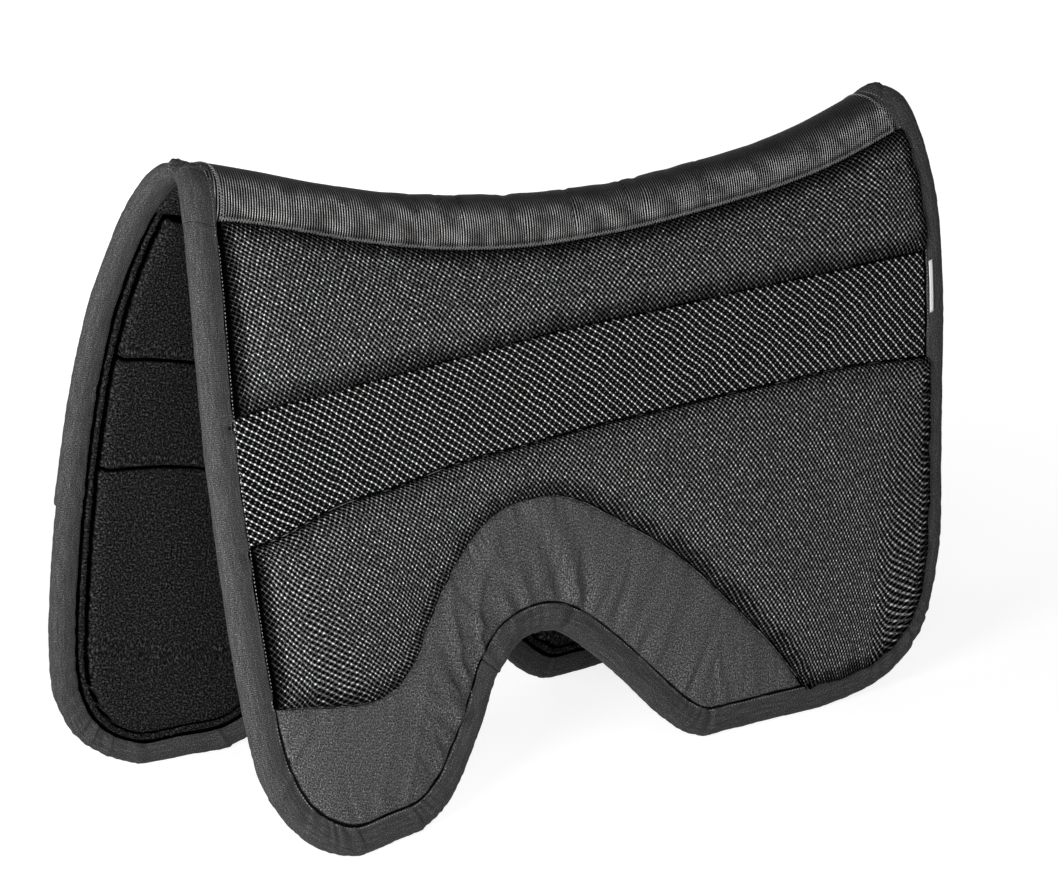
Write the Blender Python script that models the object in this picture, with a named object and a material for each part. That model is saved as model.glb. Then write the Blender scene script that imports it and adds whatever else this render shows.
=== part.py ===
"""Western saddle pad: two padded flaps joined by a woven spine strip, standing on its lower edges.

Metres, +Z up. The horse faces -X, so the near flap is at -Y and the off flap at +Y.
The floor is z = 0, and the world's origin is on the floor under the middle of the pad.

Every piece is laid out on one draped surface. A place on it is (x, s, t): x along the horse,
from the front of the spine strip, s the distance down the flap from the spine line (measured
over the surface), and t the height above the outer surface, so that t below 0 lies inside.
"""
import bisect
import math

import bmesh
import bpy
import numpy
from mathutils import Vector

# Heights of the spine line above the floor, at distances along the horse
SPINE_LINE = (
    (-0.040, 0.531), (0.000, 0.524), (0.050, 0.511), (0.120, 0.491), (0.200, 0.473),
    (0.280, 0.461), (0.360, 0.454), (0.430, 0.453), (0.500, 0.457), (0.580, 0.465),
    (0.640, 0.476), (0.705, 0.494), (0.745, 0.506),
)

# Fall of the surface below level, in degrees, at distances down from the spine line
FALL_STATIONS = (0.000, 0.012, 0.030, 0.050, 0.080, 0.120, 0.170, 0.220, 0.300, 0.600)
FALL_FRONT = (0.0, 22.0, 50.0, 62.0, 66.0, 70.0, 75.0, 77.0, 78.5, 81.0)
FALL_MIDDLE = (0.0, 22.0, 50.0, 62.0, 67.0, 74.0, 80.0, 83.0, 85.0, 86.0)
FALL_REAR = (0.0, 22.0, 50.0, 62.0, 67.0, 73.0, 78.0, 81.0, 83.0, 84.0)
FRONT_X, MIDDLE_X, REAR_X = -0.060, 0.350, 0.740
FALL_STEP = 0.002
LONGEST_FALL = 0.640
# Half the distance over which the surface's direction is read
DIRECTION_REACH = 0.002

# Outer edge of one flap as (x, s), from the front of the spine round to the rear of it.
# An s of ON_FLOOR is the length at which the edge reaches the floor.
ON_FLOOR = None
EDGE = (
    (-0.026, 0.000), (-0.034, 0.030), (-0.043, 0.066), (-0.051, 0.110), (-0.058, 0.156),
    (-0.064, 0.220), (-0.066, 0.290), (-0.065, 0.370), (-0.062, 0.430), (-0.057, 0.472),
    (-0.047, 0.502), (-0.029, 0.528), (-0.002, 0.545), (0.034, ON_FLOOR), (0.078, ON_FLOOR),
    (0.112, 0.524), (0.143, 0.500), (0.167, 0.468), (0.190, 0.430), (0.206, 0.400),
    (0.225, 0.380), (0.247, 0.370), (0.270, 0.368), (0.292, 0.376), (0.318, 0.394),
    (0.345, 0.416), (0.370, 0.440), (0.398, 0.465), (0.425, 0.480), (0.460, ON_FLOOR),
    (0.510, ON_FLOOR), (0.560, ON_FLOOR), (0.612, 0.492), (0.645, 0.485), (0.669, 0.470),
    (0.684, 0.450), (0.694, 0.424), (0.703, 0.384), (0.708, 0.330), (0.714, 0.272),
    (0.721, 0.220), (0.728, 0.165), (0.732, 0.118), (0.733, 0.070), (0.731, 0.030),
    (0.728, 0.000),
)
# The world's origin along the layout: half way between the front-most and rear-most edge
ORIGIN_X = (min(x for x, _ in EDGE) + max(x for x, _ in EDGE)) / 2
# Number of the edge point at which the front and the rear tape meet, at the side of the arch
ARCH_JOINT = 19
# Smoothing of the edge, and the tape's ring spacing near the spine and below it
EDGE_SPLITS = 24
EDGE_STEP_TOP, EDGE_STEP = 0.012, 0.025
EDGE_TOP_REACH = 0.090
# Everything of the edge below this distance down the flap belongs to its foot
FOOT_BEGINS = 0.345
# Where a panel's column along the front or the rear edge ends, in the round of the corner
LOBE_CORNER_X, REAR_CORNER_X = -0.037, 0.672
CORNER_STEP = 0.013

# Seams between the pieces of one flap, as (x, s)
SPINE_SEAM = ((-0.060, 0.059), (0.160, 0.0585), (0.283, 0.056), (0.370, 0.051), (0.480, 0.048),
              (0.750, 0.047))
BAND_TOP = ((-0.070, 0.218), (0.027, 0.194), (0.111, 0.167), (0.185, 0.147), (0.261, 0.131),
            (0.348, 0.120), (0.457, 0.118), (0.567, 0.125), (0.645, 0.137), (0.735, 0.160))
BAND_FOOT = ((-0.070, 0.316), (-0.011, 0.302), (0.053, 0.273), (0.117, 0.251), (0.182, 0.229),
             (0.247, 0.216), (0.334, 0.203), (0.443, 0.199), (0.553, 0.206), (0.610, 0.213),
             (0.666, 0.229), (0.715, 0.248))
# The wear seam's points are shared by the panels on both sides of it
WEAR_SEAM = (
    (-0.053, 0.432), (-0.015, 0.433), (0.030, 0.431), (0.062, 0.425), (0.086, 0.413),
    (0.107, 0.392), (0.124, 0.366), (0.140, 0.340), (0.157, 0.318), (0.175, 0.298),
    (0.196, 0.279), (0.219, 0.266), (0.246, 0.258), (0.278, 0.256), (0.309, 0.264),
    (0.340, 0.279), (0.370, 0.296), (0.400, 0.316), (0.428, 0.339), (0.454, 0.365),
    (0.479, 0.392), (0.503, 0.419), (0.524, 0.447), (0.540, 0.470),
)
# Where the same columns of the lower panel begin on the band, and of the wear panel end on
# the edge binding
BAND_COLUMNS = (0.020, 0.045, 0.073, 0.100, 0.122, 0.141, 0.158, 0.176, 0.196,
                0.219, 0.246, 0.278, 0.309, 0.340, 0.370, 0.400, 0.428, 0.454, 0.478, 0.501,
                0.522, 0.542)
REAR_COLUMNS = ((0.566, 0.562), (0.592, 0.584), (0.616, 0.604), (0.638, 0.618))
WEAR_FOOT_COLUMNS = (0.026, 0.052, 0.080, 0.104, 0.126, 0.144, 0.161,
                     0.182, 0.206, 0.238, 0.272, 0.300, 0.330, 0.357, 0.383, 0.408, 0.432,
                     0.460, 0.486, 0.512, 0.536)

# Layers, measured below the outer surface
SKIN = 0.0045
FOAM = 0.0043
FOAM_GAP = 0.0009
LINING = 0.0030
LAYER_GAP = 0.0005
SEAM_GAP = 0.0006
JOINT_GAP = 0.0006
SEAM_SINK = 0.0008

# Crowns of the outer pieces, and how far in from a seam they reach their height
UPPER_CROWN, UPPER_ROUND = 0.0100, 0.036
LOWER_CROWN, LOWER_ROUND = 0.0105, 0.030
BAND_CROWN, BAND_ROUND = 0.0022, 0.014
WEAR_CROWN, WEAR_ROUND = 0.0010, 0.030
STRIP_CROWN, STRIP_ROUND = 0.0012, 0.010

# Edge binding: woven tape folded over the edge
TAPE = 0.0016
TAPE_GAP = 0.0008
TAPE_COVER = 0.023
TAPE_LINING_COVER = 0.020
TUCK = 0.009
# The fold: how far in its corners, its inner face and its fullest line lie, and how round it is
FOLD_CORNER, FOLD_INSIDE, FOLD_FULL = 0.0024, 0.0045, 0.010
FOLD_ROUND, FOLD_RISE = 0.0014, 0.0006
# Depth that is cut off level where the folded tape stands on the floor
FLOOR_CUT = 0.0008

# Lining channels, as distances down the flap
CHANNELS = (0.188, 0.282, 0.440)
CHANNEL_GAP = 0.0016
LOBE_LINING_END = 0.166
REAR_LINING_START = 0.392

# Foam inserts stop short of the seams, and of the flap's front and rear ends
FOAM_SHORT = 0.010
SPINE_FOAM_SHORT = 0.004
FOAM_FRONT, FOAM_REAR = -0.020, 0.690
LOWER_FOAM_FRONT, LOWER_FOAM_TAIL = -0.016, (0.580, 0.610, 0.640)
LOBE_FOAM_FRONT, LOBE_FOAM_END = -0.006, 0.124

# Bare label tab on the rear binding of the near flap
LABEL_LENGTH, LABEL_WIDTH, LABEL_THICK = 0.042, 0.009, 0.0008
LABEL_DOWN = 0.183
LABEL_IN = 0.0027

# Flap hinge: a straight line this far above the spine seam's two ends
HINGE_RISE = 0.018
HINGE_FRONT_X, HINGE_REAR_X = 0.000, 0.720

# Columns of the outer pieces and the lining along the horse, between the ends of the flap
PANEL_FRONT, PANEL_REAR, PANEL_COLUMNS = 0.018, 0.640, 20
LINING_FRONT, LINING_REAR, CORNER_ROOM = 0.000, 0.665, 0.010
STRIP_FRONT, STRIP_REAR, STRIP_COLUMNS = 0.004, 0.700, 17
STRIP_ROWS = 10

COLOURS = {
    "ribbed_webbing": ((0.060, 0.060, 0.062), 0.70),
    "spacer_mesh": ((0.036, 0.036, 0.038), 0.85),
    "coarse_mesh": ((0.075, 0.075, 0.078), 0.45),
    "nylon_twill": ((0.042, 0.042, 0.044), 0.55),
    "binding_tape": ((0.030, 0.030, 0.032), 0.75),
    "felt_lining": ((0.022, 0.022, 0.023), 0.95),
    "foam_insert": ((0.110, 0.110, 0.112), 0.90),
    "label_tape": ((0.780, 0.780, 0.770), 0.60),
}


def clear_scene():
    """Remove every object of the scene."""
    for obj in list(bpy.data.objects):
        bpy.data.objects.remove(obj, do_unlink=True)


def fair(points):
    """Return a smooth height over x through hand-set points."""
    xs = [p[0] for p in points]
    ys = [p[1] for p in points]
    last = len(xs) - 1
    slopes = []
    for k in range(last + 1):
        a, b = max(k - 1, 0), min(k + 1, last)
        slopes.append((ys[b] - ys[a]) / (xs[b] - xs[a]))

    def height(x):
        x = min(max(x, xs[0]), xs[-1])
        k = min(max(bisect.bisect_right(xs, x) - 1, 0), last - 1)
        step = xs[k + 1] - xs[k]
        u = (x - xs[k]) / step
        rise = u * u * (3.0 - 2.0 * u)
        ease_in = step * u * (1.0 - u) ** 2
        ease_out = step * u * u * (u - 1.0)
        return ys[k] + (ys[k + 1] - ys[k]) * rise + slopes[k] * ease_in + slopes[k + 1] * ease_out

    return height


def straight(points):
    """Return the height over x along straight runs between the points."""
    xs = [p[0] for p in points]
    ys = [p[1] for p in points]

    def height(x):
        x = min(max(x, xs[0]), xs[-1])
        k = min(max(bisect.bisect_right(xs, x) - 1, 0), len(xs) - 2)
        return ys[k] + (ys[k + 1] - ys[k]) * (x - xs[k]) / (xs[k + 1] - xs[k])

    return height


def fall_profile(angles):
    """Return how far out and how far down the surface has gone, every FALL_STEP."""
    angle = straight(tuple(zip(FALL_STATIONS, angles)))
    out, down = [0.0], [0.0]
    for k in range(round(LONGEST_FALL / FALL_STEP)):
        slope = math.radians(angle((k + 0.5) * FALL_STEP))
        out.append(out[-1] + FALL_STEP * math.cos(slope))
        down.append(down[-1] + FALL_STEP * math.sin(slope))
    return out, down


SPINE_HEIGHT = fair(SPINE_LINE)
PROFILES = [fall_profile(angles) for angles in (FALL_FRONT, FALL_MIDDLE, FALL_REAR)]


def ease(value):
    """Return a smooth 0 to 1 rise for a value from 0 to 1."""
    value = min(max(value, 0.0), 1.0)
    return value * value * (3.0 - 2.0 * value)


def read_profile(values, s):
    """Return a profile's value at a distance down from the spine line."""
    place = min(abs(s) / FALL_STEP, len(values) - 1.001)
    k = int(place)
    return values[k] + (values[k + 1] - values[k]) * (place - k)


def skin_point(x, s):
    """Return the outer surface's point; s is negative on the near side."""
    back = ease((x - FRONT_X) / (MIDDLE_X - FRONT_X))
    rear = ease((x - MIDDLE_X) / (REAR_X - MIDDLE_X))
    shares = (1.0 - back, back * (1.0 - rear), rear)
    out = sum(share * read_profile(p[0], s) for share, p in zip(shares, PROFILES))
    down = sum(share * read_profile(p[1], s) for share, p in zip(shares, PROFILES))
    return Vector((x - ORIGIN_X, math.copysign(out, s), SPINE_HEIGHT(x) - down))


def pad_point(x, s, t):
    """Return the point t above the outer surface, square to it."""
    reach = DIRECTION_REACH
    along = skin_point(x + reach, s) - skin_point(x - reach, s)
    across = skin_point(x, s + reach) - skin_point(x, s - reach)
    return skin_point(x, s) + along.cross(across).normalized() * t


FOAM_TOP = -(SKIN + FOAM_GAP)
LINING_TOP = FOAM_TOP - FOAM - FOAM_GAP
LINING_FACE = LINING_TOP - LINING
TAPE_INSIDE = LINING_FACE - TAPE_GAP - TAPE
# Height of the folded edge's lowest line: it is what stands on the floor
FOLD_LOWEST = 0.8 * TAPE_INSIDE


def floor_length(x):
    """Return the s at which the folded edge at x stands FLOOR_CUT below the floor."""
    short, long = LONGEST_FALL / 2, LONGEST_FALL
    for _ in range(30):
        middle = (short + long) / 2
        if pad_point(x, middle, FOLD_LOWEST).z > -FLOOR_CUT:
            short = middle
        else:
            long = middle
    return (short + long) / 2


def edge_path():
    """Return the flap's outer edge as evenly spaced (x, s) points, and the arch joint's place."""
    marks = [Vector((x, floor_length(x) if s is ON_FLOOR else s)) for x, s in EDGE]
    fine = []
    joint = 0
    for k in range(len(marks) - 1):
        if k == ARCH_JOINT:
            joint = len(fine)
        a, b = marks[max(k - 1, 0)], marks[k]
        c, d = marks[k + 1], marks[min(k + 2, len(marks) - 1)]
        for step in range(EDGE_SPLITS):
            u = step / EDGE_SPLITS
            fine.append(0.5 * (2 * b + (c - a) * u + (2 * a - 5 * b + 4 * c - d) * u * u
                               + (3 * b - a - 3 * c + d) * u ** 3))
    fine.append(marks[-1])
    return fine, joint


def thin_out(points):
    """Keep points a step apart, closer together near the spine."""
    kept = [points[0]]
    run = 0.0
    for before, point in zip(points, points[1:]):
        run += (point - before).length
        step = EDGE_STEP_TOP if point.y < EDGE_TOP_REACH else EDGE_STEP
        if run >= step:
            kept.append(point)
            run = 0.0
    if (points[-1] - kept[-1]).length < EDGE_STEP_TOP / 2:
        kept.pop()
    kept.append(points[-1])
    return kept


def inward(points, k):
    """Return the unit direction into the flap at a point of its edge."""
    run = points[min(k + 1, len(points) - 1)] - points[max(k - 1, 0)]
    return Vector((run.y, -run.x)).normalized()


def inset(points, distance):
    """Return the edge moved into the flap."""
    return [p + inward(points, k) * distance for k, p in enumerate(points)]


EDGE_FINE, EDGE_JOINT = edge_path()
# Where the edge turns from the front to the foot of the flap, and from the foot to the rear
EDGE_PLACES = numpy.array([(p.x, p.y) for p in EDGE_FINE])
HALF_WAY = len(EDGE_FINE) // 2
FRONT_TURN = max(range(HALF_WAY), key=lambda k: EDGE_FINE[k].y)
REAR_TURN = max(range(HALF_WAY, len(EDGE_FINE)), key=lambda k: EDGE_FINE[k].y)


def rising(pairs):
    """Return pairs in order of their first value, dropping any that turn back."""
    kept = []
    for first, second in sorted(pairs):
        if not kept or first > kept[-1][0] + 1e-6:
            kept.append((first, second))
    return kept


def edge_rails(distance):
    """Return functions for the inset edge: front x over s, rear x over s, and foot s over x."""
    line = inset(EDGE_FINE, distance)
    lower = [p for p in line if p.y > FOOT_BEGINS]
    front = straight(rising((p.y, p.x) for p in line[:FRONT_TURN]))
    rear = straight(rising((p.y, p.x) for p in line[REAR_TURN:]))
    foot = straight(rising((p.x, p.y) for p in lower))
    return front, rear, foot


def edge_distance(x, s):
    """Return how far a place on the flap lies from the flap's edge."""
    return float(numpy.hypot(EDGE_PLACES[:, 0] - x, EDGE_PLACES[:, 1] - s).min())


def spread(start, end, count):
    """Return evenly spread values with both ends."""
    return [start + (end - start) * k / (count - 1) for k in range(count)]


def puff(distance, reach):
    """Return the 0 to 1 rise of a stuffed piece at a distance in from its seam."""
    if distance <= 0.0:
        return 0.0
    if distance >= reach:
        return 1.0
    return math.sqrt(1.0 - (1.0 - distance / reach) ** 2)


def fill_slab(layout, outer_t, inner_t, side):
    """Build one closed slab over a grid of (x, s) places; each t function takes (i, j)."""
    bm = bmesh.new()
    columns, rows = len(layout), len(layout[0])

    def sheet(height):
        return [[bm.verts.new(pad_point(x, side * s, height(i, j))) for j, (x, s) in enumerate(col)]
                for i, col in enumerate(layout)]

    outer, inner = sheet(outer_t), sheet(inner_t)
    for i in range(columns - 1):
        for j in range(rows - 1):
            for grid in (outer, inner):
                bm.faces.new((grid[i][j], grid[i + 1][j], grid[i + 1][j + 1], grid[i][j + 1]))
    rim = [(i, 0) for i in range(columns)]
    rim += [(columns - 1, j) for j in range(1, rows)]
    rim += [(i, rows - 1) for i in range(columns - 2, -1, -1)]
    rim += [(0, j) for j in range(rows - 2, 0, -1)]
    for (i, j), (k, m) in zip(rim, rim[1:] + rim[:1]):
        bm.faces.new((outer[i][j], outer[k][m], inner[k][m], inner[i][j]))
    bmesh.ops.recalc_face_normals(bm, faces=bm.faces)
    return bm


def material(name):
    """Return the named material."""
    found = bpy.data.materials.get(name)
    if found:
        return found
    colour, roughness = COLOURS[name]
    made = bpy.data.materials.new(name)
    made.use_nodes = True
    shader = made.node_tree.nodes["Principled BSDF"]
    shader.inputs["Base Color"].default_value = (*colour, 1.0)
    shader.inputs["Roughness"].default_value = roughness
    shader.inputs["Metallic"].default_value = 0.0
    made.diffuse_color = (*colour, 1.0)
    return made


def finish(bm, name, finish_name, parent):
    """Turn a bmesh into a named object with its origin on its parent's axis."""
    bmesh.ops.transform(bm, matrix=parent.matrix_basis.inverted(), verts=bm.verts)
    mesh = bpy.data.meshes.new(name)
    bm.to_mesh(mesh)
    bm.free()
    mesh.materials.append(material(finish_name))
    mesh.shade_smooth()
    mesh.set_sharp_from_angle(angle=math.radians(38))
    obj = bpy.data.objects.new(name, mesh)
    bpy.context.collection.objects.link(obj)
    obj.parent = parent
    return obj


def crown(layout, height, reach):
    """Return the outer height of a stuffed piece at each place of its layout.

    It is drawn in sharply at the seams above and below, and rises gently from the tape that
    lies over the flap's edge."""
    def raised(i, j):
        column = layout[i]
        place = column[j]
        tall = math.dist(column[0], column[-1])
        room = max(min(reach, 0.48 * tall), 0.001)
        share = puff(math.dist(column[0], place), room) * puff(math.dist(column[-1], place), room)
        share *= ease((edge_distance(*place) - TAPE_REACH) / reach)
        slack = min(1.0, 0.55 + 0.45 * tall / (2 * reach))
        return height * slack * share - SEAM_SINK

    return raised


def level(t):
    """Return a constant height."""
    return lambda i, j: t


def no_less(rail, least):
    """Return a rail that doesn't turn in past a corner."""
    return lambda s: max(rail(s), least)


# Where a crown begins beside the tape, and the columns that follow the flap's ends
TAPE_REACH = TAPE_COVER + 0.004
END_INSETS = (TUCK, TAPE_REACH, TAPE_REACH + 0.011, TAPE_REACH + 0.028)
TUCKED_FRONT, TUCKED_REAR, TUCKED_FOOT = edge_rails(TUCK)
FRONT_ENDS = [edge_rails(distance)[0] for distance in END_INSETS]
REAR_ENDS = [edge_rails(distance)[1] for distance in END_INSETS]
REAR_ENDS = [no_less(rail, REAR_CORNER_X - CORNER_STEP * k) for k, rail in enumerate(REAR_ENDS)][::-1]


def straight_column(x_top, x_foot, top, foot, shares):
    """Return places on a straight line between two seams."""
    start, end = top(x_top), foot(x_foot)
    return [(x_top + (x_foot - x_top) * share, start + (end - start) * share) for share in shares]


def edge_column(edge, x, top, foot, shares):
    """Return places between two seams that follow an inset of the flap's front or rear edge."""
    column = []
    for share in shares:
        place = x
        for _ in range(5):
            s = top(place) + (foot(place) - top(place)) * share
            place = edge(s)
        column.append((place, s))
    return column


def row_shares(tall, top_rows, foot_rows, middle_rows):
    """Return how far down a column each row lies: set distances at the seams, even between."""
    fit = min(1.0, 0.42 * tall / max(top_rows[-1], foot_rows[-1], 0.001))
    first = [distance * fit / tall for distance in top_rows]
    last = [1.0 - distance * fit / tall for distance in reversed(foot_rows)]
    middle = spread(first[-1], last[0], middle_rows + 2)[1:-1]
    return first + middle + last


def panel_layout(tops, feet, top, foot, rows, front_ends=(), rear_ends=()):
    """Return columns of (x, s) between two seams, with end columns that follow the edges.

    rows takes a column's length and whether its foot lies under the tape."""
    layout = []

    def shares_at(x_top, x_foot):
        start, end = (x_top, top(x_top)), (x_foot, foot(x_foot))
        return rows(math.dist(start, end), edge_distance(*end) < TAPE_COVER)

    for edge in front_ends:
        x = edge(top(tops[0]))
        layout.append(edge_column(edge, x, top, foot, shares_at(x, edge(foot(x)))))
    for x_top, x_foot in zip(tops, feet):
        layout.append(straight_column(x_top, x_foot, top, foot, shares_at(x_top, x_foot)))
    for edge in rear_ends:
        x = edge(top(tops[-1]))
        layout.append(edge_column(edge, x, top, foot, shares_at(x, edge(foot(x)))))
    return layout


def shifted(rail, distance):
    """Return a seam moved down the flap."""
    return lambda x: rail(x) + distance


def lower_of(first, second):
    """Return the seam that lies higher up the flap of two."""
    return lambda x: min(first(x), second(x))


def foot_rail(x):
    """Return how far down the flap the tucked foot edge lies, between the two corners."""
    return TUCKED_FOOT(min(max(x, LOBE_CORNER_X), REAR_CORNER_X))


def stuffed_rows(tall, foot_taped):
    """Rows of a padded panel."""
    return row_shares(tall, SEAM_ROWS, TAPE_ROWS if foot_taped else SEAM_ROWS, 2)


def flat_rows(tall, foot_taped):
    """Rows of a flat panel."""
    return row_shares(tall, FLAT_ROWS, TAPE_ROWS[:2] if foot_taped else FLAT_ROWS, 3)


def band_rows(tall, foot_taped):
    """Rows of the band."""
    return row_shares(tall, FLAT_ROWS, FLAT_ROWS, 1)


def even_rows(count):
    """Rows of a flat sheet, evenly spread."""
    return lambda tall, foot_taped: spread(0.0, 1.0, count)


SPINE_RAIL = fair(SPINE_SEAM)
BAND_TOP_RAIL = fair(BAND_TOP)
BAND_FOOT_RAIL = fair(BAND_FOOT)
WEAR_RAIL = straight(WEAR_SEAM)
LONG_COLUMNS = spread(PANEL_FRONT, PANEL_REAR, PANEL_COLUMNS)
SEAM_ROWS = (0.0, 0.003, 0.010, 0.024)
TAPE_ROWS = (0.0, 0.0155, 0.026, 0.040)
FLAT_ROWS = (0.0, 0.006)


def upper_mesh(side):
    """Padded panel between the spine seam and the band."""
    layout = panel_layout(LONG_COLUMNS, LONG_COLUMNS, shifted(SPINE_RAIL, JOINT_GAP / 2),
                          shifted(BAND_TOP_RAIL, -SEAM_GAP / 2), stuffed_rows, FRONT_ENDS,
                          REAR_ENDS)
    outer = crown(layout, UPPER_CROWN, UPPER_ROUND)
    return fill_slab(layout, outer, level(-SKIN), side)


def mesh_band(side):
    """Flat band that crosses the flap slantwise."""
    layout = panel_layout(LONG_COLUMNS, LONG_COLUMNS, shifted(BAND_TOP_RAIL, SEAM_GAP / 2),
                          shifted(BAND_FOOT_RAIL, -SEAM_GAP / 2), band_rows, FRONT_ENDS,
                          REAR_ENDS)
    outer = crown(layout, BAND_CROWN, BAND_ROUND)
    return fill_slab(layout, outer, level(-SKIN), side)


def lower_mesh(side):
    """Padded panel below the band: it bulges over the arch and reaches the rear edge."""
    tops = list(BAND_COLUMNS) + [pair[0] for pair in REAR_COLUMNS]
    feet = [point[0] for point in WEAR_SEAM[2:]] + [pair[1] for pair in REAR_COLUMNS]
    top = shifted(BAND_FOOT_RAIL, SEAM_GAP / 2)
    on_seam = shifted(WEAR_RAIL, -SEAM_GAP / 2)
    wear_end = WEAR_SEAM[-1][0]
    layout = panel_layout(tops, feet, top, lambda x: on_seam(x) if x <= wear_end else foot_rail(x),
                          stuffed_rows, FRONT_ENDS, REAR_ENDS)
    outer = crown(layout, LOWER_CROWN, LOWER_ROUND)
    return fill_slab(layout, outer, level(-SKIN), side)


def wear_panel(side):
    """Smooth panel with the front lobe, round the girth arch."""
    tops = [point[0] for point in WEAR_SEAM[2:]]
    layout = panel_layout(tops, WEAR_FOOT_COLUMNS, shifted(WEAR_RAIL, SEAM_GAP / 2), foot_rail,
                          flat_rows, FRONT_ENDS)
    outer = crown(layout, WEAR_CROWN, WEAR_ROUND)
    return fill_slab(layout, outer, level(-SKIN), side)


def foam_sheet(tops, feet, top, foot, side):
    """Foam insert between two seams, short of both."""
    shares = spread(0.0, 1.0, 4)
    layout = [[(a + (b - a) * share, top(a) + FOAM_SHORT + (foot(b) - top(a) - 2 * FOAM_SHORT)
                * share) for share in shares] for a, b in zip(tops, feet)]
    return fill_slab(layout, level(FOAM_TOP), level(FOAM_TOP - FOAM), side)


def lining_sheet(tops, feet, top, foot, rows, front_ends, rear_ends, side):
    """Felt lining of one channel."""
    layout = panel_layout(tops, feet, shifted(top, CHANNEL_GAP / 2), shifted(foot, -CHANNEL_GAP / 2),
                          even_rows(rows), front_ends, rear_ends)
    return fill_slab(layout, level(LINING_TOP), level(LINING_FACE), side)


def tape_section():
    """Return the folded tape's section as (e, t): e runs into the flap from its edge."""
    under = LINING_FACE - TAPE_GAP
    return (
        (TAPE_COVER, LAYER_GAP), (TAPE_COVER, TAPE), (FOLD_FULL, TAPE + FOLD_RISE),
        (FOLD_CORNER, TAPE - FOLD_ROUND), (0.0, TAPE_INSIDE / 3), (0.0, TAPE_INSIDE * 2 / 3),
        (FOLD_CORNER, TAPE_INSIDE + FOLD_ROUND), (TAPE_LINING_COVER, TAPE_INSIDE),
        (TAPE_LINING_COVER, under), (FOLD_INSIDE, under), (FOLD_INSIDE, LAYER_GAP),
    )


def sweep_tape(path, inwards, side):
    """Build the folded tape along a run of edge points."""
    section = tape_section()
    bm = bmesh.new()
    rings = []
    for point, into in zip(path, inwards):
        rings.append([bm.verts.new(pad_point(point.x + into.x * e, side * (point.y + into.y * e), t))
                      for e, t in section])
    count = len(section)
    for a, b in zip(rings, rings[1:]):
        for k in range(count):
            bm.faces.new((a[k], a[(k + 1) % count], b[(k + 1) % count], b[k]))
    bm.faces.new(rings[0])
    bm.faces.new(rings[-1])
    bmesh.ops.recalc_face_normals(bm, faces=bm.faces)
    return bm


def stand_flat(bm):
    """Cut the folded edge level where it stands on the floor."""
    cut = bmesh.ops.bisect_plane(bm, geom=list(bm.verts) + list(bm.edges) + list(bm.faces),
                                 plane_co=(0.0, 0.0, 0.0), plane_no=(0.0, 0.0, -1.0),
                                 clear_outer=True, dist=1e-7)
    edges = [item for item in cut["geom_cut"] if isinstance(item, bmesh.types.BMEdge)]
    bmesh.ops.edgenet_fill(bm, edges=edges)
    bmesh.ops.recalc_face_normals(bm, faces=bm.faces)
    return bm


def binding_runs():
    """Return the edge points and inward directions of the front and the rear tape."""
    fine = EDGE_FINE
    directions = [inward(fine, k) for k in range(len(fine))]
    first = next(k for k, p in enumerate(fine) if p.y > SPINE_RAIL(p.x) + JOINT_GAP / 2)
    last = next(k for k in range(len(fine) - 1, 0, -1)
                if fine[k].y > SPINE_RAIL(fine[k].x) + JOINT_GAP / 2)
    runs = []
    for start, end in ((first, EDGE_JOINT), (EDGE_JOINT, last)):
        kept = thin_out(fine[start:end + 1])
        runs.append((kept, [directions[fine.index(p)] for p in kept]))
    return runs


def seam_end(run, at_start, distance):
    """Move one end of a run to a set distance down from the spine line."""
    points, directions = run
    k = 0 if at_start else len(points) - 1
    points[k] = Vector((points[k].x, distance))
    directions[k] = Vector((1.0 if at_start else -1.0, 0.0))


def bindings(side):
    """Folded tape of one flap: the front run and the rear run meet at the girth arch."""
    front, rear = binding_runs()
    seam_end(front, True, SPINE_RAIL(front[0][0].x) + JOINT_GAP / 2)
    seam_end(rear, False, SPINE_RAIL(rear[0][-1].x) + JOINT_GAP / 2)
    gap = Vector(front[1][-1])
    across = Vector((gap.y, -gap.x)) * (JOINT_GAP / 4)
    front[0][-1] = front[0][-1] + across
    rear[0][0] = rear[0][0] - across
    return [stand_flat(sweep_tape(points, directions, side)) for points, directions in (front, rear)]


def spine_shares():
    """Return how far across the spine strip each of its rows lies, from seam to seam."""
    return spread(-1.0, 1.0, STRIP_ROWS)


def spine_slab(columns, outer, inner, ends, short):
    """Closed strip over the spine line between the two seams."""
    layout = []
    for k, x in enumerate(columns):
        column = []
        for share in spine_shares():
            place = x
            if k == 0:
                place = ends[0](abs(share) * SPINE_RAIL(x))
            elif k == len(columns) - 1:
                place = ends[1](abs(share) * SPINE_RAIL(x))
            column.append((place, share * (SPINE_RAIL(place) - JOINT_GAP / 2 - short)))
        layout.append(column)
    return fill_slab(layout, outer(layout), inner, 1.0)


def spine_columns():
    """Return the strip's columns from the front fold to the rear fold."""
    ends = (EDGE[0][0] + TUCK, EDGE[-1][0] - TUCK)
    return [ends[0]] + spread(STRIP_FRONT, STRIP_REAR, STRIP_COLUMNS) + [ends[1]]


def strip_top(layout):
    """Return the woven strip's slightly stuffed height."""
    def raised(i, j):
        distance = min(abs(layout[i][j][1] - layout[i][0][1]), abs(layout[i][j][1] - layout[i][-1][1]))
        under_tape = i in (0, len(layout) - 1)
        return -SEAM_SINK if under_tape else STRIP_CROWN * puff(distance, STRIP_ROUND) - SEAM_SINK
    return raised


def spine_strip():
    """Ribbed woven strip over the spine."""
    return spine_slab(spine_columns(), strip_top, level(-SKIN), (TUCKED_FRONT, TUCKED_REAR), 0.0)


def spine_foam():
    """Foam core under the strip."""
    ends = (edge_rails(TAPE_COVER)[0], edge_rails(TAPE_COVER)[1])
    return spine_slab(spine_columns()[1:-1], lambda layout: level(FOAM_TOP),
                      level(FOAM_TOP - FOAM), ends, SPINE_FOAM_SHORT)


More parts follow.
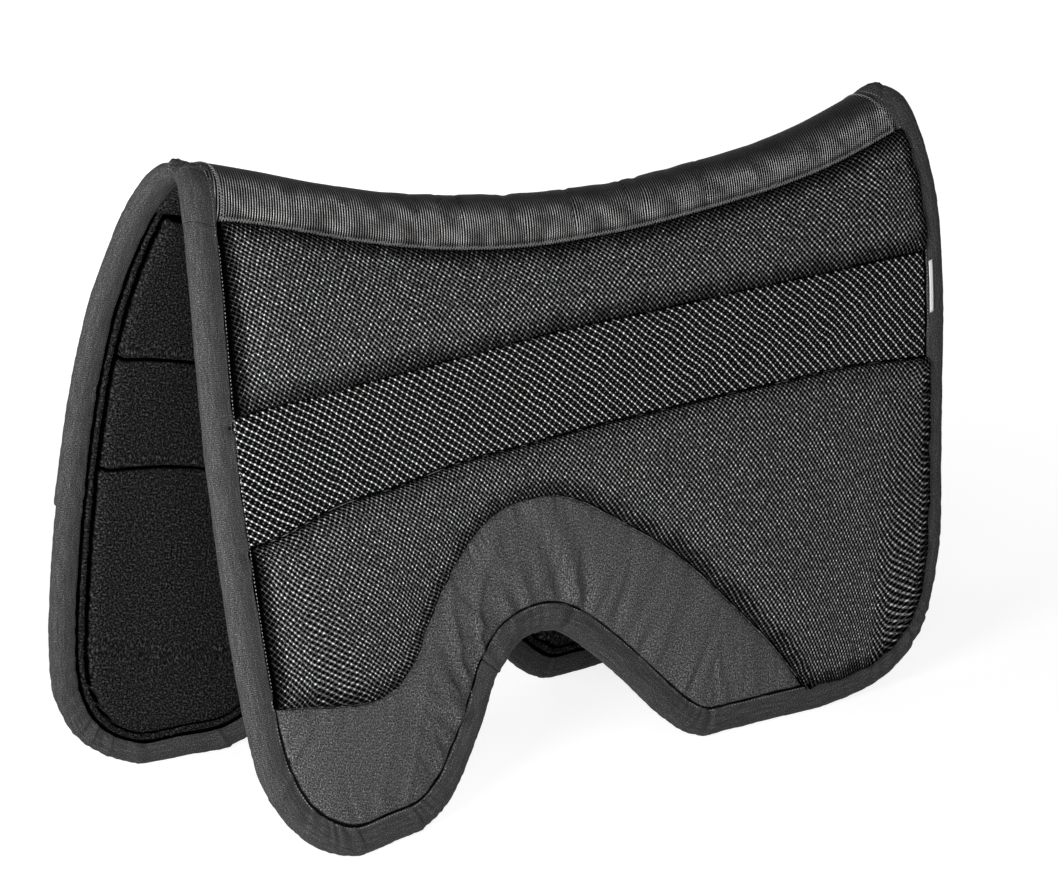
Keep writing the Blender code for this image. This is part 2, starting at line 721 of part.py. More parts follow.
def spine_lining():
    """Felt under the foam core."""
    return spine_slab(spine_columns(), lambda layout: level(LINING_TOP),
                      level(LINING_FACE), (TUCKED_FRONT, TUCKED_REAR), 0.0)


def spine_binding(at_front):
    """Folded tape over one end of the strip, from seam to seam."""
    front_edge, rear_edge, _ = edge_rails(0.0)
    edge = front_edge if at_front else rear_edge
    reach = SPINE_RAIL(edge(0.0)) - JOINT_GAP / 2
    path = [Vector((edge(abs(share) * reach), share * reach)) for share in spine_shares()]
    into = Vector((1.0 if at_front else -1.0, 0.0))
    return sweep_tape(path, [into] * len(path), 1.0)


def side_label():
    """Bare label tab sewn to the rear tape of the near flap."""
    edge = edge_rails(TAPE_COVER)[1]
    rows = spread(LABEL_DOWN - LABEL_LENGTH / 2, LABEL_DOWN + LABEL_LENGTH / 2, 6)
    layout = [[(edge(s) + out, s) for s in rows] for out in (LABEL_IN, LABEL_IN + LABEL_WIDTH)]
    base = TAPE + FOLD_RISE + LAYER_GAP
    return fill_slab(layout, level(base + LABEL_THICK), level(base), -1.0)


def hinge_empty(name, side):
    """Place the empty that carries one flap on its hinge axis, with its X along the axis."""
    front = skin_point(HINGE_FRONT_X, side * SPINE_RAIL(HINGE_FRONT_X))
    rear = skin_point(HINGE_REAR_X, side * SPINE_RAIL(HINGE_REAR_X))
    empty = bpy.data.objects.new(name, None)
    bpy.context.collection.objects.link(empty)
    empty.location = (front.x, front.y, front.z + HINGE_RISE)
    empty.rotation_euler = (0.0, math.atan2(front.z - rear.z, rear.x - front.x), 0.0)
    return empty


def build_lining(word, side, hinge):
    """Build the felt lining of one flap, channel by channel."""
    first, second, third = [lambda x, s=s: s for s in CHANNELS]
    long_columns = spread(LINING_FRONT, LINING_REAR, 16)
    low_columns = spread(LINING_FRONT, LINING_REAR, 23)
    lobe_columns = spread(LOBE_CORNER_X + TUCK, LOBE_LINING_END, 10)
    rear_columns = spread(REAR_LINING_START, LINING_REAR - CORNER_ROOM, 10)
    front_end, rear_end = [TUCKED_FRONT], [TUCKED_REAR]
    sheets = (
        ("upper", long_columns, SPINE_RAIL, first, 6, front_end, rear_end),
        ("middle", long_columns, first, second, 4, front_end, rear_end),
        ("lower", low_columns, second, lower_of(third, foot_rail), 4, front_end, rear_end),
        ("lobe", lobe_columns, third, foot_rail, 4, front_end, ()),
        ("rear", rear_columns, third, foot_rail, 3, (), rear_end),
    )
    for place, columns, top, foot, rows, front_ends, rear_ends in sheets:
        finish(lining_sheet(columns, columns, top, foot, rows, front_ends, rear_ends, side),
               word + "_" + place + "_lining", "felt_lining", hinge)


def build_flap(word, side):
    """Build every piece of one flap under the empty on its hinge."""
    hinge = hinge_empty(word + "_flap_hinge", side)
    finish(upper_mesh(side), word + "_upper_mesh_panel", "spacer_mesh", hinge)
    finish(mesh_band(side), word + "_mesh_band", "coarse_mesh", hinge)
    finish(lower_mesh(side), word + "_lower_mesh_panel", "spacer_mesh", hinge)
    finish(wear_panel(side), word + "_wear_panel", "nylon_twill", hinge)

    inner_columns = spread(FOAM_FRONT, FOAM_REAR, 14)
    finish(foam_sheet(inner_columns, inner_columns, SPINE_RAIL, BAND_TOP_RAIL, side),
           word + "_upper_foam", "foam_insert", hinge)
    finish(foam_sheet(inner_columns, inner_columns, BAND_TOP_RAIL, BAND_FOOT_RAIL, side),
           word + "_band_foam", "foam_insert", hinge)
    covered_foot = edge_rails(TAPE_COVER)[2]
    seam_xs = [point[0] for point in WEAR_SEAM[2:]]
    finish(foam_sheet([LOWER_FOAM_FRONT, *BAND_COLUMNS, *LOWER_FOAM_TAIL],
                      [LOWER_FOAM_FRONT, *seam_xs, *LOWER_FOAM_TAIL],
                      BAND_FOOT_RAIL, lower_of(WEAR_RAIL, covered_foot), side),
           word + "_lower_foam", "foam_insert", hinge)
    lobe_columns = spread(LOBE_FOAM_FRONT, LOBE_FOAM_END, 12)
    finish(foam_sheet(lobe_columns, lobe_columns, WEAR_RAIL, covered_foot, side),
           word + "_lobe_foam", "foam_insert", hinge)

    build_lining(word, side, hinge)
    for run, bm in zip(("front", "rear"), bindings(side)):
        finish(bm, word + "_" + run + "_binding", "binding_tape", hinge)
    if side < 0:
        finish(side_label(), word + "_side_label", "label_tape", hinge)


def build_spine():
    """Build the pieces along the spine, which both flaps hang from."""
    root = bpy.data.objects.new("spine_line", None)
    bpy.context.collection.objects.link(root)
    finish(spine_strip(), "spine_strip", "ribbed_webbing", root)
    finish(spine_foam(), "spine_foam", "foam_insert", root)
    finish(spine_lining(), "spine_lining", "felt_lining", root)
    finish(spine_binding(True), "spine_front_binding", "binding_tape", root)
    finish(spine_binding(False), "spine_rear_binding", "binding_tape", root)


clear_scene()
build_spine()
for flap_name, flap_side in (("near", -1.0), ("off", 1.0)):
    build_flap(flap_name, flap_side)
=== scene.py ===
"""Western saddle pad, dressed: sewn panels, woven strip, bound edges, felt lining and stitching.

Every piece is laid out on the pad's draped surface. A place on it is (x, s, t): x along the
horse from the front of the spine strip, s the distance down a flap from the spine line
(below 0 on the near side), and t the height above the outer surface, all in metres.
"""
import math
from collections import namedtuple

import bmesh
import bpy
import numpy as np
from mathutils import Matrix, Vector


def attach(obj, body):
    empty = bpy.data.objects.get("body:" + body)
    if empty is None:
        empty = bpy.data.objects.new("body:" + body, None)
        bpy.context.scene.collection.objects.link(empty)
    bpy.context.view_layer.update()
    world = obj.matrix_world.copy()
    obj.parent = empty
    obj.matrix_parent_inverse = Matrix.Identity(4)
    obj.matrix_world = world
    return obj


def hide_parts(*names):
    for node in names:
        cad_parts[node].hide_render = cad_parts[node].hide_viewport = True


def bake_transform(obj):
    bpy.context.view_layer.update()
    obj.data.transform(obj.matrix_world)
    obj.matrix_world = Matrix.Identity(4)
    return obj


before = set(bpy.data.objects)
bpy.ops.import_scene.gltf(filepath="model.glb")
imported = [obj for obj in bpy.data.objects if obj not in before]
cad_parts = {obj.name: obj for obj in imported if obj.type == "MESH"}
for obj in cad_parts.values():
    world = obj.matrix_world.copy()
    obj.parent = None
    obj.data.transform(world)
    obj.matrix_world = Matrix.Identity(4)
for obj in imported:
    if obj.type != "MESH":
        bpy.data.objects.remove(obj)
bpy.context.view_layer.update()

SIDE = {"near": -1.0, "off": 1.0}


def metres(values):
    """Return lengths given in millimetres, in rows of any depth, as metres; None stays None."""
    if isinstance(values, tuple):
        return tuple(metres(value) for value in values)
    return values if values is None else values / 1000


# The drape: heights of the spine line, and how steeply a flap falls, in degrees below level, at
# stations down it; at the front, the middle and the rear
SPINE_LINE = metres((
    (-40, 531), (0, 524), (50, 511), (120, 491), (200, 473), (280, 461), (360, 454), (430, 453),
    (500, 457), (580, 465), (640, 476), (705, 494), (745, 506)))
FALL_STATIONS = metres((0, 12, 30, 50, 80, 120, 170, 220, 300, 600))
FALL_FRONT = (0.0, 22.0, 50.0, 62.0, 66.0, 70.0, 75.0, 77.0, 78.5, 81.0)
FALL_MIDDLE = (0.0, 22.0, 50.0, 62.0, 67.0, 74.0, 80.0, 83.0, 85.0, 86.0)
FALL_REAR = (0.0, 22.0, 50.0, 62.0, 67.0, 73.0, 78.0, 81.0, 83.0, 84.0)
FRONT_X, MIDDLE_X, REAR_X = -0.060, 0.350, 0.740
# The step and the end of the drape's table, and the reach that gives the surface its direction
FALL_STEP, LONGEST_FALL, DIRECTION_REACH = 0.002, 0.640, 0.002

# One flap's outer edge as (x, s); an s of ON_FLOOR is where the edge reaches the floor
ON_FLOOR = None
EDGE = metres((
    (-26, 0), (-34, 30), (-43, 66), (-51, 110), (-58, 156), (-64, 220), (-66, 290), (-65, 370),
    (-62, 430), (-57, 472), (-47, 502), (-29, 528), (-2, 545), (34, ON_FLOOR), (78, ON_FLOOR), (112, 524),
    (143, 500), (167, 468), (190, 430), (206, 400), (225, 380), (247, 370), (270, 368), (292, 376),
    (318, 394), (345, 416), (370, 440), (398, 465), (425, 480), (460, ON_FLOOR), (510, ON_FLOOR),
    (560, ON_FLOOR), (612, 492), (645, 485), (669, 470), (684, 450), (694, 424), (703, 384), (708, 330),
    (714, 272), (721, 220), (728, 165), (732, 118), (733, 70), (731, 30), (728, 0)))
ORIGIN_X = (min(x for x, _ in EDGE) + max(x for x, _ in EDGE)) / 2
# Points of the edge line to each one above, the s below which the edge counts as the foot, and how
# many points of the front and rear the foot shares
EDGE_SPLITS, FOOT_BEGINS, FOOT_OVERLAP = 24, 0.345, 40
# The edge point where the front tape and the rear tape meet, at the top of the girth arch
ARCH_JOINT = 19

# Seams of one flap as (x, s)
SPINE_SEAM = metres(((-60, 59), (160, 58.5), (283, 56), (370, 51), (480, 48), (750, 47)))
BAND_TOP = metres((
    (-70, 218), (27, 194), (111, 167), (185, 147), (261, 131), (348, 120), (457, 118), (567, 125),
    (645, 137), (735, 160)))
BAND_FOOT = metres((
    (-70, 316), (-11, 302), (53, 273), (117, 251), (182, 229), (247, 216), (334, 203), (443, 199),
    (553, 206), (610, 213), (666, 229), (715, 248)))
WEAR_SEAM = metres((
    (-53, 432), (-15, 433), (30, 431), (62, 425), (86, 413), (107, 392), (124, 366), (140, 340),
    (157, 318), (175, 298), (196, 279), (219, 266), (246, 258), (278, 256), (309, 264), (340, 279),
    (370, 296), (400, 316), (428, 339), (454, 365), (479, 392), (503, 419), (524, 447), (540, 470)))
WEAR_XS = [x for x, _ in WEAR_SEAM[2:]]
# The felt's channel seams, sewn by hand and so not quite straight
CHANNELS = metres((
    ((-70, 190), (-20, 188), (60, 185), (300, 187), (740, 188)),
    ((-70, 286), (-20, 284), (40, 277), (100, 275), (300, 282), (740, 282)),
    ((-70, 436), (-20, 441), (30, 445), (80, 440), (166, 440), (740, 440))))
# The s where the felt's lobe and rear pieces begin, and the x between which the arch lies
LOWEST_CHANNEL, LOBE_LINING_END, REAR_LINING_START = 0.440, 0.166, 0.392

# Where columns of the lower panel begin on the band, and of the wear panel end on the edge
BAND_COLUMNS = metres((
    20, 45, 73, 100, 122, 141, 158, 176, 196, 219, 246, 278, 309, 340, 370, 400, 428, 454, 478, 501, 522,
    542))
WEAR_FOOT_COLUMNS = metres((
    26, 52, 80, 104, 126, 144, 161, 182, 206, 238, 272, 300, 330, 357, 383, 408, 432, 460, 486, 512, 536,
    546))
# Rows and columns lie closer beside the tape and the seams: distances in from them
END_INSETS = (0.009, 0.014, 0.019, 0.0215, 0.0228, 0.0238, 0.0248, 0.0262, 0.028, 0.0302, 0.0328,
              0.0358, 0.0392, 0.0432, 0.048, 0.055)
SEAM_STEPS = np.array([0.0, 0.0006, 0.0013, 0.0022, 0.0033, 0.0046, 0.0062, 0.0082, 0.0106, 0.0134,
                       0.0167, 0.0205])
TAPE_STEPS = np.array([0.0, 0.006, 0.011, 0.0134, 0.0144, 0.0154, 0.0166, 0.0182, 0.0202, 0.0228,
                       0.026, 0.030])
# The most of a short column that its closer rows take up at one end
STEPS_SHARE = 0.42
LONG_COLUMNS, FELT_COLUMNS = 235, 165
# How many values noise has before it repeats, along a run and along a side, and which is at 0
NOISE_RUN, NOISE_SIDE, NOISE_START = 4096, 256, 64.0

# x at the strip's front and rear end, and beside the tape where it crosses the spine
STRIP_ENDS, TAPE_CROSSINGS = (0.0, 0.7), (-0.045, 0.730)

# Layers: how thick, and their heights, which are below 0 under the outer surface
SKIN, FOAM, FOAM_GAP, LINING = 0.0045, 0.0043, 0.0009, 0.0030
FOAM_TOP = -(SKIN + FOAM_GAP)
LINING_TOP = FOAM_TOP - FOAM - FOAM_GAP
LINING_FACE = LINING_TOP - LINING
# How far the foam stops short of its seams, on a flap and on the spine, and how deep foam and
# felt lie, which hang is given but does not use
FOAM_SHORT, SPINE_FOAM_SHORT, FOAM_DEPTH, LINING_DEPTH = 0.010, 0.0043, 0.007, 0.012
# The tape: how thick, its gap, how far it covers the outside and the felt, and its tucked edge
TAPE, TAPE_GAP, TAPE_COVER, TAPE_LINING_COVER, TUCK = 0.0016, 0.0008, 0.023, 0.020, 0.009
TAPE_INSIDE = LINING_FACE - TAPE_GAP - TAPE
# The height of the tape's fold that comes lowest, and how much the floor presses off it
FOLD_LOWEST, FLOOR_CUT = 0.8 * TAPE_INSIDE, 0.0008
# The sewn edge is squeezed: heights of the tape's inner face and of the felt's two faces there
FOLD_UNDER = -0.0112
EDGE_FELT_BACK, EDGE_FELT_FACE = -0.0080, -0.0106
# How far a panel's skin is pressed down at its seams, and the flat cloth between wall and tape
SEAM_SINK, VALLEY = 0.0008, 0.0006
# Gathers beside a seam: how far apart, where they stand highest and how far they run; and how
# far from the seam the painted seam shade reaches
GATHER_PITCH, GATHER_PEAK, GATHER_RUN, SEAM_SHADE_REACH = 0.0052, 0.004, 0.016, 0.0026
# Beside the tape the felt has a shadow, a ridge and a sewn groove, this far from it
FELT_SHADOW, FELT_RIDGE, FELT_GROOVE = 0.0010, 0.0055, 0.0098
# The tape end that laps the next: how proud it stands, how far back that fades, and its place on
# the off flap's front; and the last point of the tape's section that shows
LAP_RISE, LAP_FADE, OFF_LAP = 0.0017, 0.030, 0.318
LAST_SHOWN = 23
# How far apart the points of the tape's route lie, and its rings: on a flap and over the spine,
# which reaches so far down
ROUTE_STEP, RING_STEP, TOP_RING_STEP, TOP_REACH = 0.0012, 0.0018, 0.0008, 0.08
# Stitches along the tape; along the front edge they lie in the valley beside it
STITCH_PITCH, STITCH_LENGTH, STITCH_RADIUS = 0.0030, 0.0017, 0.00038
TAPE_STITCHES, FELT_STITCHES, VALLEY_STITCHES = (0.0222, 0.0018), (0.0186, -0.0126), (0.0252, 0.0005)
# Depths down the flap between which they lie there, and how gradually they change over
VALLEY_BEGINS, VALLEY_ENDS, VALLEY_CHANGE = 0.066, 0.420, 0.010
# The overlock's zigzag: a full turn's length, its width along the spine seams, how far in from the
# front and rear edges its two sides lie there, and the thread's radius
OVERLOCK_PITCH, OVERLOCK_WIDTH, OVERLOCK_INSETS, OVERLOCK_RADIUS = 0.0030, 0.0034, (0.0318, 0.0288), 0.00030
# The turned edge of cloth along a seam: its radius, and how far it lies from the seam
SEAM_EDGE_RADIUS, SEAM_EDGE_OFFSET = 0.0006, 0.0009

# Where the tape's bend beside the spine would begin and end, down from the spine line
TAPE_BEND_START, TAPE_BEND_END = 0.054, 0.145


def hermite(points):
    """Return a smooth function of the first value through listed points."""
    xs, ys = np.array(points, float).T
    slopes = (np.r_[ys[1:], ys[-1]] - np.r_[ys[0], ys[:-1]]) / (
        np.r_[xs[1:], xs[-1]] - np.r_[xs[0], xs[:-1]])

    def read(x):
        x = np.clip(x, xs[0], xs[-1])
        k = np.clip(np.searchsorted(xs, x, "right") - 1, 0, len(xs) - 2)
        step = xs[k + 1] - xs[k]
        u = (x - xs[k]) / step
        return (ys[k] + (ys[k + 1] - ys[k]) * u * u * (3 - 2 * u)
                + slopes[k] * step * u * (1 - u) ** 2 + slopes[k + 1] * step * u * u * (u - 1))

    return read


def fall_profile(angles):
    """Return how far out and down the surface has gone, every FALL_STEP."""
    middles = (np.arange(round(LONGEST_FALL / FALL_STEP)) + 0.5) * FALL_STEP
    slope = np.radians(np.interp(middles, FALL_STATIONS, angles))
    return [np.r_[0.0, np.cumsum(part)] * FALL_STEP for part in (np.cos(slope), np.sin(slope))]


SPINE_HEIGHT = hermite(SPINE_LINE)
PROFILES = [fall_profile(angles) for angles in (FALL_FRONT, FALL_MIDDLE, FALL_REAR)]
FALL_PLACES = np.arange(len(PROFILES[0][0])) * FALL_STEP
SPINE_RAIL, BAND_TOP_RAIL, BAND_FOOT_RAIL, WEAR_RAIL = (
    hermite(seam) for seam in (SPINE_SEAM, BAND_TOP, BAND_FOOT, WEAR_SEAM))
CHANNEL_RAILS = [hermite(seam) for seam in CHANNELS]


def ease(value):
    """Return a smooth 0 to 1 rise for values from 0 to 1."""
    value = np.clip(value, 0.0, 1.0)
    return value * value * (3.0 - 2.0 * value)


def bell(value, width):
    """Return a bump that is 1 where the value is 0."""
    return np.exp(-(value / width) ** 2)


def puff(distance, reach):
    """Return the 0 to 1 rise of a stuffed piece at a distance in from its seam."""
    return np.sqrt(1.0 - (1.0 - np.clip(distance / reach, 0.0, 1.0)) ** 2)


def unit(vectors):
    """Return vectors at length 1."""
    return vectors / np.linalg.norm(vectors, axis=-1, keepdims=True)


def run_along(path):
    """Return the length of a path up to each of its points."""
    return np.r_[0.0, np.cumsum(np.linalg.norm(np.diff(path, axis=0), axis=1))]


def on_path(spots, arc, path):
    """Return the points of a path at lengths along it."""
    return np.stack([np.interp(spots, arc, column) for column in path.T], -1)


def skin(x, s):
    """Return points of the outer surface."""
    back = ease((x - FRONT_X) / (MIDDLE_X - FRONT_X))
    rear = ease((x - MIDDLE_X) / (REAR_X - MIDDLE_X))
    shares = (1.0 - back, back * (1.0 - rear), rear)
    out, down = (sum(share * np.interp(np.abs(s), FALL_PLACES, profile[k])
                     for share, profile in zip(shares, PROFILES)) for k in (0, 1))
    return np.stack([x - ORIGIN_X, np.copysign(out, s), SPINE_HEIGHT(x) - down], -1)


def square_to(x, s):
    """Return the outward directions of the outer surface."""
    reach = DIRECTION_REACH
    return unit(np.cross(skin(x + reach, s) - skin(x - reach, s), skin(x, s + reach) - skin(x, s - reach)))


def place(x, s, t):
    """Return points t above the outer surface."""
    x, s, t = np.broadcast_arrays(np.asarray(x, float), np.asarray(s, float), np.asarray(t, float))
    return skin(x, s) + square_to(x, s) * t[..., None]


def floor_length(x):
    """Return the s at which the folded edge at x stands on the floor."""
    short, long = LONGEST_FALL / 2, LONGEST_FALL
    for _ in range(30):
        middle = (short + long) / 2
        if place(x, middle, FOLD_LOWEST)[2] > -FLOOR_CUT:
            short = middle
        else:
            long = middle
    return (short + long) / 2


def curve_through(marks, splits):
    """Return a smooth line through marks."""
    marks = np.array(marks, float)
    padded = np.concatenate([marks[:1], marks, marks[-1:]])
    a, b, c, d = (part[:, None] for part in (padded[:-3], padded[1:-2], padded[2:-1], padded[3:]))
    u = (np.arange(splits) / splits)[None, :, None]
    line = 0.5 * (2 * b + (c - a) * u + (2 * a - 5 * b + 4 * c - d) * u * u
                  + (3 * b - a - 3 * c + d) * u ** 3)
    return np.concatenate([line.reshape(-1, 2), marks[-1:]])


def inward(line):
    """Return the unit directions to the right of a line: into the flap, along its edge."""
    run = np.gradient(line, axis=0)
    return unit(np.stack([run[:, 1], -run[:, 0]], -1))


EDGE_LINE = curve_through([(x, floor_length(x) if s is ON_FLOOR else s) for x, s in EDGE], EDGE_SPLITS)
EDGE_INWARD = inward(EDGE_LINE)
HALF_WAY = len(EDGE_LINE) // 2
FRONT_TURN = int(EDGE_LINE[:HALF_WAY, 1].argmax())
REAR_TURN = HALF_WAY + int(EDGE_LINE[HALF_WAY:, 1].argmax())
# The edge with fewer points, for measuring how far in a place lies
COARSE_EDGE = EDGE_LINE[::4]
# The tucked edge under the tape as one path, from the front of the spine
TUCKED = EDGE_LINE + EDGE_INWARD * TUCK
TUCKED_ARC = run_along(TUCKED)


def rail(first, second):
    """Return second as a function of first, up to where the points turn back."""
    kept = np.r_[True, np.diff(np.maximum.accumulate(first)) > 1e-7]
    return lambda value: np.interp(value, first[kept], second[kept])


def edge_rails(distance):
    """Return the inset edge as front x over s, rear x over s, and foot s over x."""
    line = EDGE_LINE + EDGE_INWARD * distance
    front, rear = line[:FRONT_TURN], line[REAR_TURN:][::-1]
    lower = line[line[:, 1] > FOOT_BEGINS]
    return rail(front[:, 1], front[:, 0]), rail(rear[:, 1], rear[:, 0]), rail(lower[:, 0], lower[:, 1])


def tucked_arc(part, axis):
    """Return a function for the arc at which a part of the tucked edge passes x (axis 0) or s (1)."""
    return lambda value: np.interp(value, np.maximum.accumulate(TUCKED[part, axis]), TUCKED_ARC[part])


ARC_ON_FRONT = tucked_arc(slice(FRONT_TURN), 1)
ARC_ON_REAR = tucked_arc(slice(None, REAR_TURN - 1, -1), 1)
ARC_ON_FOOT = tucked_arc(slice(FRONT_TURN - FOOT_OVERLAP, REAR_TURN + FOOT_OVERLAP), 0)


def line_distance(places, line, chunk=2048):
    """Return how far places lie from a line, the nearest points on it and their run along it."""
    starts, runs = line[:-1], np.diff(line, axis=0)
    lengths = (runs ** 2).sum(1)
    arc = np.r_[0.0, np.cumsum(np.sqrt(lengths))]
    flat = places.reshape(-1, 2)
    distance, nearest, along = np.empty(len(flat)), np.empty_like(flat), np.empty(len(flat))
    for first in range(0, len(flat), chunk):
        part = flat[first:first + chunk, None]
        u = np.clip(((part - starts) * runs).sum(-1) / np.maximum(lengths, 1e-12), 0.0, 1.0)
        found = starts + runs * u[..., None]
        gaps = ((part - found) ** 2).sum(-1)
        k = gaps.argmin(1)
        rows = np.arange(len(k))
        distance[first:first + chunk] = np.sqrt(gaps[rows, k])
        nearest[first:first + chunk] = found[rows, k]
        along[first:first + chunk] = arc[k] + u[rows, k] * np.sqrt(lengths[k])
    shape = places.shape[:-1]
    return distance.reshape(shape), nearest.reshape(*shape, 2), along.reshape(shape)


def toward(grid, nearest, gap):
    """Return the unit directions from places to their nearest points."""
    return (nearest - grid) / np.maximum(gap, 1e-9)[..., None]


def ripple(run, step, seed):
    """Return smooth noise from -1 to 1 along a run, with a value every step."""
    values = np.random.default_rng(seed).uniform(-1.0, 1.0, NOISE_RUN)
    at = np.asarray(run) / step + NOISE_START
    k = np.floor(at).astype(int)
    u = ease(at - k)
    return values[k % NOISE_RUN] * (1 - u) + values[(k + 1) % NOISE_RUN] * u


def patches(x, s, size, seed):
    """Return smooth noise from -1 to 1 over the flap, with a value every size."""
    values = np.random.default_rng(seed).uniform(-1.0, 1.0, (NOISE_SIDE, NOISE_SIDE))
    i, j = np.asarray(x) / size + NOISE_START, np.asarray(s) / size + NOISE_START
    k, m = np.floor(i).astype(int), np.floor(j).astype(int)
    u, v = ease(i - k), ease(j - m)
    corner = [values[(k + a) % NOISE_SIDE, (m + b) % NOISE_SIDE]
              for a, b in ((0, 0), (1, 0), (0, 1), (1, 1))]
    return (corner[0] * (1 - u) + corner[1] * u) * (1 - v) + (corner[2] * (1 - u) + corner[3] * u) * v


# Layouts
def columns_between(tops, feet, taped, middle):
    """Return straight columns of rows between points; taped is 1 where a foot lies under tape."""
    span = feet - tops
    length = np.maximum(np.linalg.norm(span, axis=1), 1e-6)
    taped = np.broadcast_to(np.asarray(taped, float), length.shape)[:, None]
    foot_steps = SEAM_STEPS + (TAPE_STEPS - SEAM_STEPS) * taped
    fit = np.minimum(1.0, STEPS_SHARE * length / TAPE_STEPS[-1])[:, None]
    first = SEAM_STEPS * fit / length[:, None]
    last = 1.0 - foot_steps[:, ::-1] * fit / length[:, None]
    even = np.linspace(0.0, 1.0, middle + 2)[1:-1]
    shares = np.concatenate([first, first[:, -1:] + (last[:, :1] - first[:, -1:]) * even, last], 1)
    return tops[:, None] + span[:, None] * shares[..., None], shares


def end_columns(which, top, foot, x_start, middle):
    """Return columns that follow insets of the front edge (which 0) or the rear edge (which 1)."""
    made = []
    for distance in END_INSETS:
        edge = edge_rails(distance)[which]
        x_top = edge(top(x_start))
        x_foot = edge(foot(x_top))
        ends = np.array([[x_top, top(x_top)]]), np.array([[x_foot, foot(x_foot)]])
        share = columns_between(*ends, 0.0, middle)[1][0]
        x = np.full(len(share), x_top)
        # Six rounds settle the points on the inset edge
        for _ in range(6):
            s = top(x) + (foot(x) - top(x)) * share
            x = edge(s)
        made.append(np.stack([x, s], -1))
    return np.array(made)


def between(values, splits):
    """Return values with more of them between each two, smoothly spaced."""
    read = hermite(list(enumerate(values)))
    return read(np.linspace(0, len(values) - 1, (len(values) - 1) * splits + 1))


def on_rail(xs, line):
    """Return the points of a seam at xs."""
    return np.stack([xs, line(xs)], -1)


def straight(top, tops, foot, feet, middle, taped=0.0):
    """Return straight columns from one seam to another."""
    return columns_between(on_rail(tops, top), on_rail(feet, foot), taped, middle)[0]


def edge_to_edge(top, foot, first_x, last_x, middle, *inner):
    """Return a grid of inner columns, with others beside them that follow the front and rear edge."""
    return np.concatenate([end_columns(0, top, foot, first_x, middle), *inner,
                           end_columns(1, top, foot, last_x, middle)[::-1]])


def across_flap(top, foot, top_ends, foot_ends, count, middle):
    """Return a grid between two seams that run from the front edge to the rear edge."""
    tops, feet = (np.linspace(*ends, count) for ends in (top_ends, foot_ends))
    return edge_to_edge(top, foot, tops[0], tops[-1], middle, straight(top, tops, foot, feet, middle))


def fan_to_edge(top, tops, arcs, middle):
    """Return columns from a seam to the tucked edge under the tape."""
    return columns_between(on_rail(tops, top), on_path(arcs, TUCKED_ARC, TUCKED), 1.0, middle)[0]


SEAM_XS = np.linspace(-0.075, 0.745, 420)
SPINE_SEAM_LINE, BAND_TOP_LINE, BAND_FOOT_LINE = (
    on_rail(SEAM_XS, seam) for seam in (SPINE_RAIL, BAND_TOP_RAIL, BAND_FOOT_RAIL))
WEAR_LINE = on_rail(SEAM_XS[(SEAM_XS >= WEAR_SEAM[0][0]) & (SEAM_XS <= WEAR_SEAM[-1][0])], WEAR_RAIL)


def band_axis():
    """Return functions for the arc along the band's middle line, the line's tilt and its s."""
    xs, blur = np.linspace(-0.2, 0.9, 1101), 121
    ends = blur // 2 + 1
    middle = (BAND_TOP_RAIL(xs) + BAND_FOOT_RAIL(xs)) / 2
    slope = np.convolve(np.gradient(middle, xs), np.ones(blur) / blur, "same")
    slope[:ends], slope[-ends:] = slope[ends], slope[-ends - 1]
    arc = np.r_[0.0, np.cumsum(np.hypot(1.0, (slope[1:] + slope[:-1]) / 2) * np.diff(xs))]
    return (lambda x: np.interp(x, xs, arc), lambda x: np.interp(x, xs, np.arctan(slope)),
            lambda x: np.interp(x, xs, middle))


AXIS_ARC, AXIS_TILT, AXIS_MIDDLE = band_axis()


def along_band(x, s):
    """Return how far along and across the cloth a place is, on cloth cut along the band."""
    off = s - AXIS_MIDDLE(x)
    tilt = AXIS_TILT(x)
    tilt = AXIS_TILT(x + off * np.sin(tilt) * np.cos(tilt))
    return AXIS_ARC(x + off * np.sin(tilt) * np.cos(tilt)), off * np.cos(tilt)


# Meshes
def made_mesh(name, points, faces, cloth, material):
    """Return a smooth closed mesh whose points carry their place on the cloth, in metres."""
    mesh = bpy.data.meshes.new(name)
    mesh.from_pydata(np.asarray(points, float).tolist(), [], faces)
    shape = bmesh.new()
    shape.from_mesh(mesh)
    if shape.calc_volume(signed=True) < 0:
        mesh.flip_normals()
    shape.free()
    mesh.shade_smooth()
    attribute = mesh.attributes.new("cloth", "FLOAT_VECTOR", "POINT")
    attribute.data.foreach_set("vector", np.asarray(cloth, np.float32).ravel())
    mesh.materials.append(material)
    return linked(name, mesh)


def linked(name, data):
    """Return a new object in the scene."""
    obj = bpy.data.objects.new(name, data)
    bpy.context.scene.collection.objects.link(obj)
    return obj


def sheet_faces(columns, rows, offset=0):
    """Return the quads of a grid."""
    index = np.arange(columns * rows).reshape(columns, rows) + offset
    return np.stack([index[:-1, :-1], index[1:, :-1], index[1:, 1:], index[:-1, 1:]], -1).reshape(-1, 4)


def tube_faces(rings, sides):
    """Return the quads round a swept body."""
    index = np.arange(rings * sides).reshape(rings, sides)
    after = np.roll(index, -1, 1)
    return np.stack([index[:-1], after[:-1], after[1:], index[1:]], -1).reshape(-1, 4)


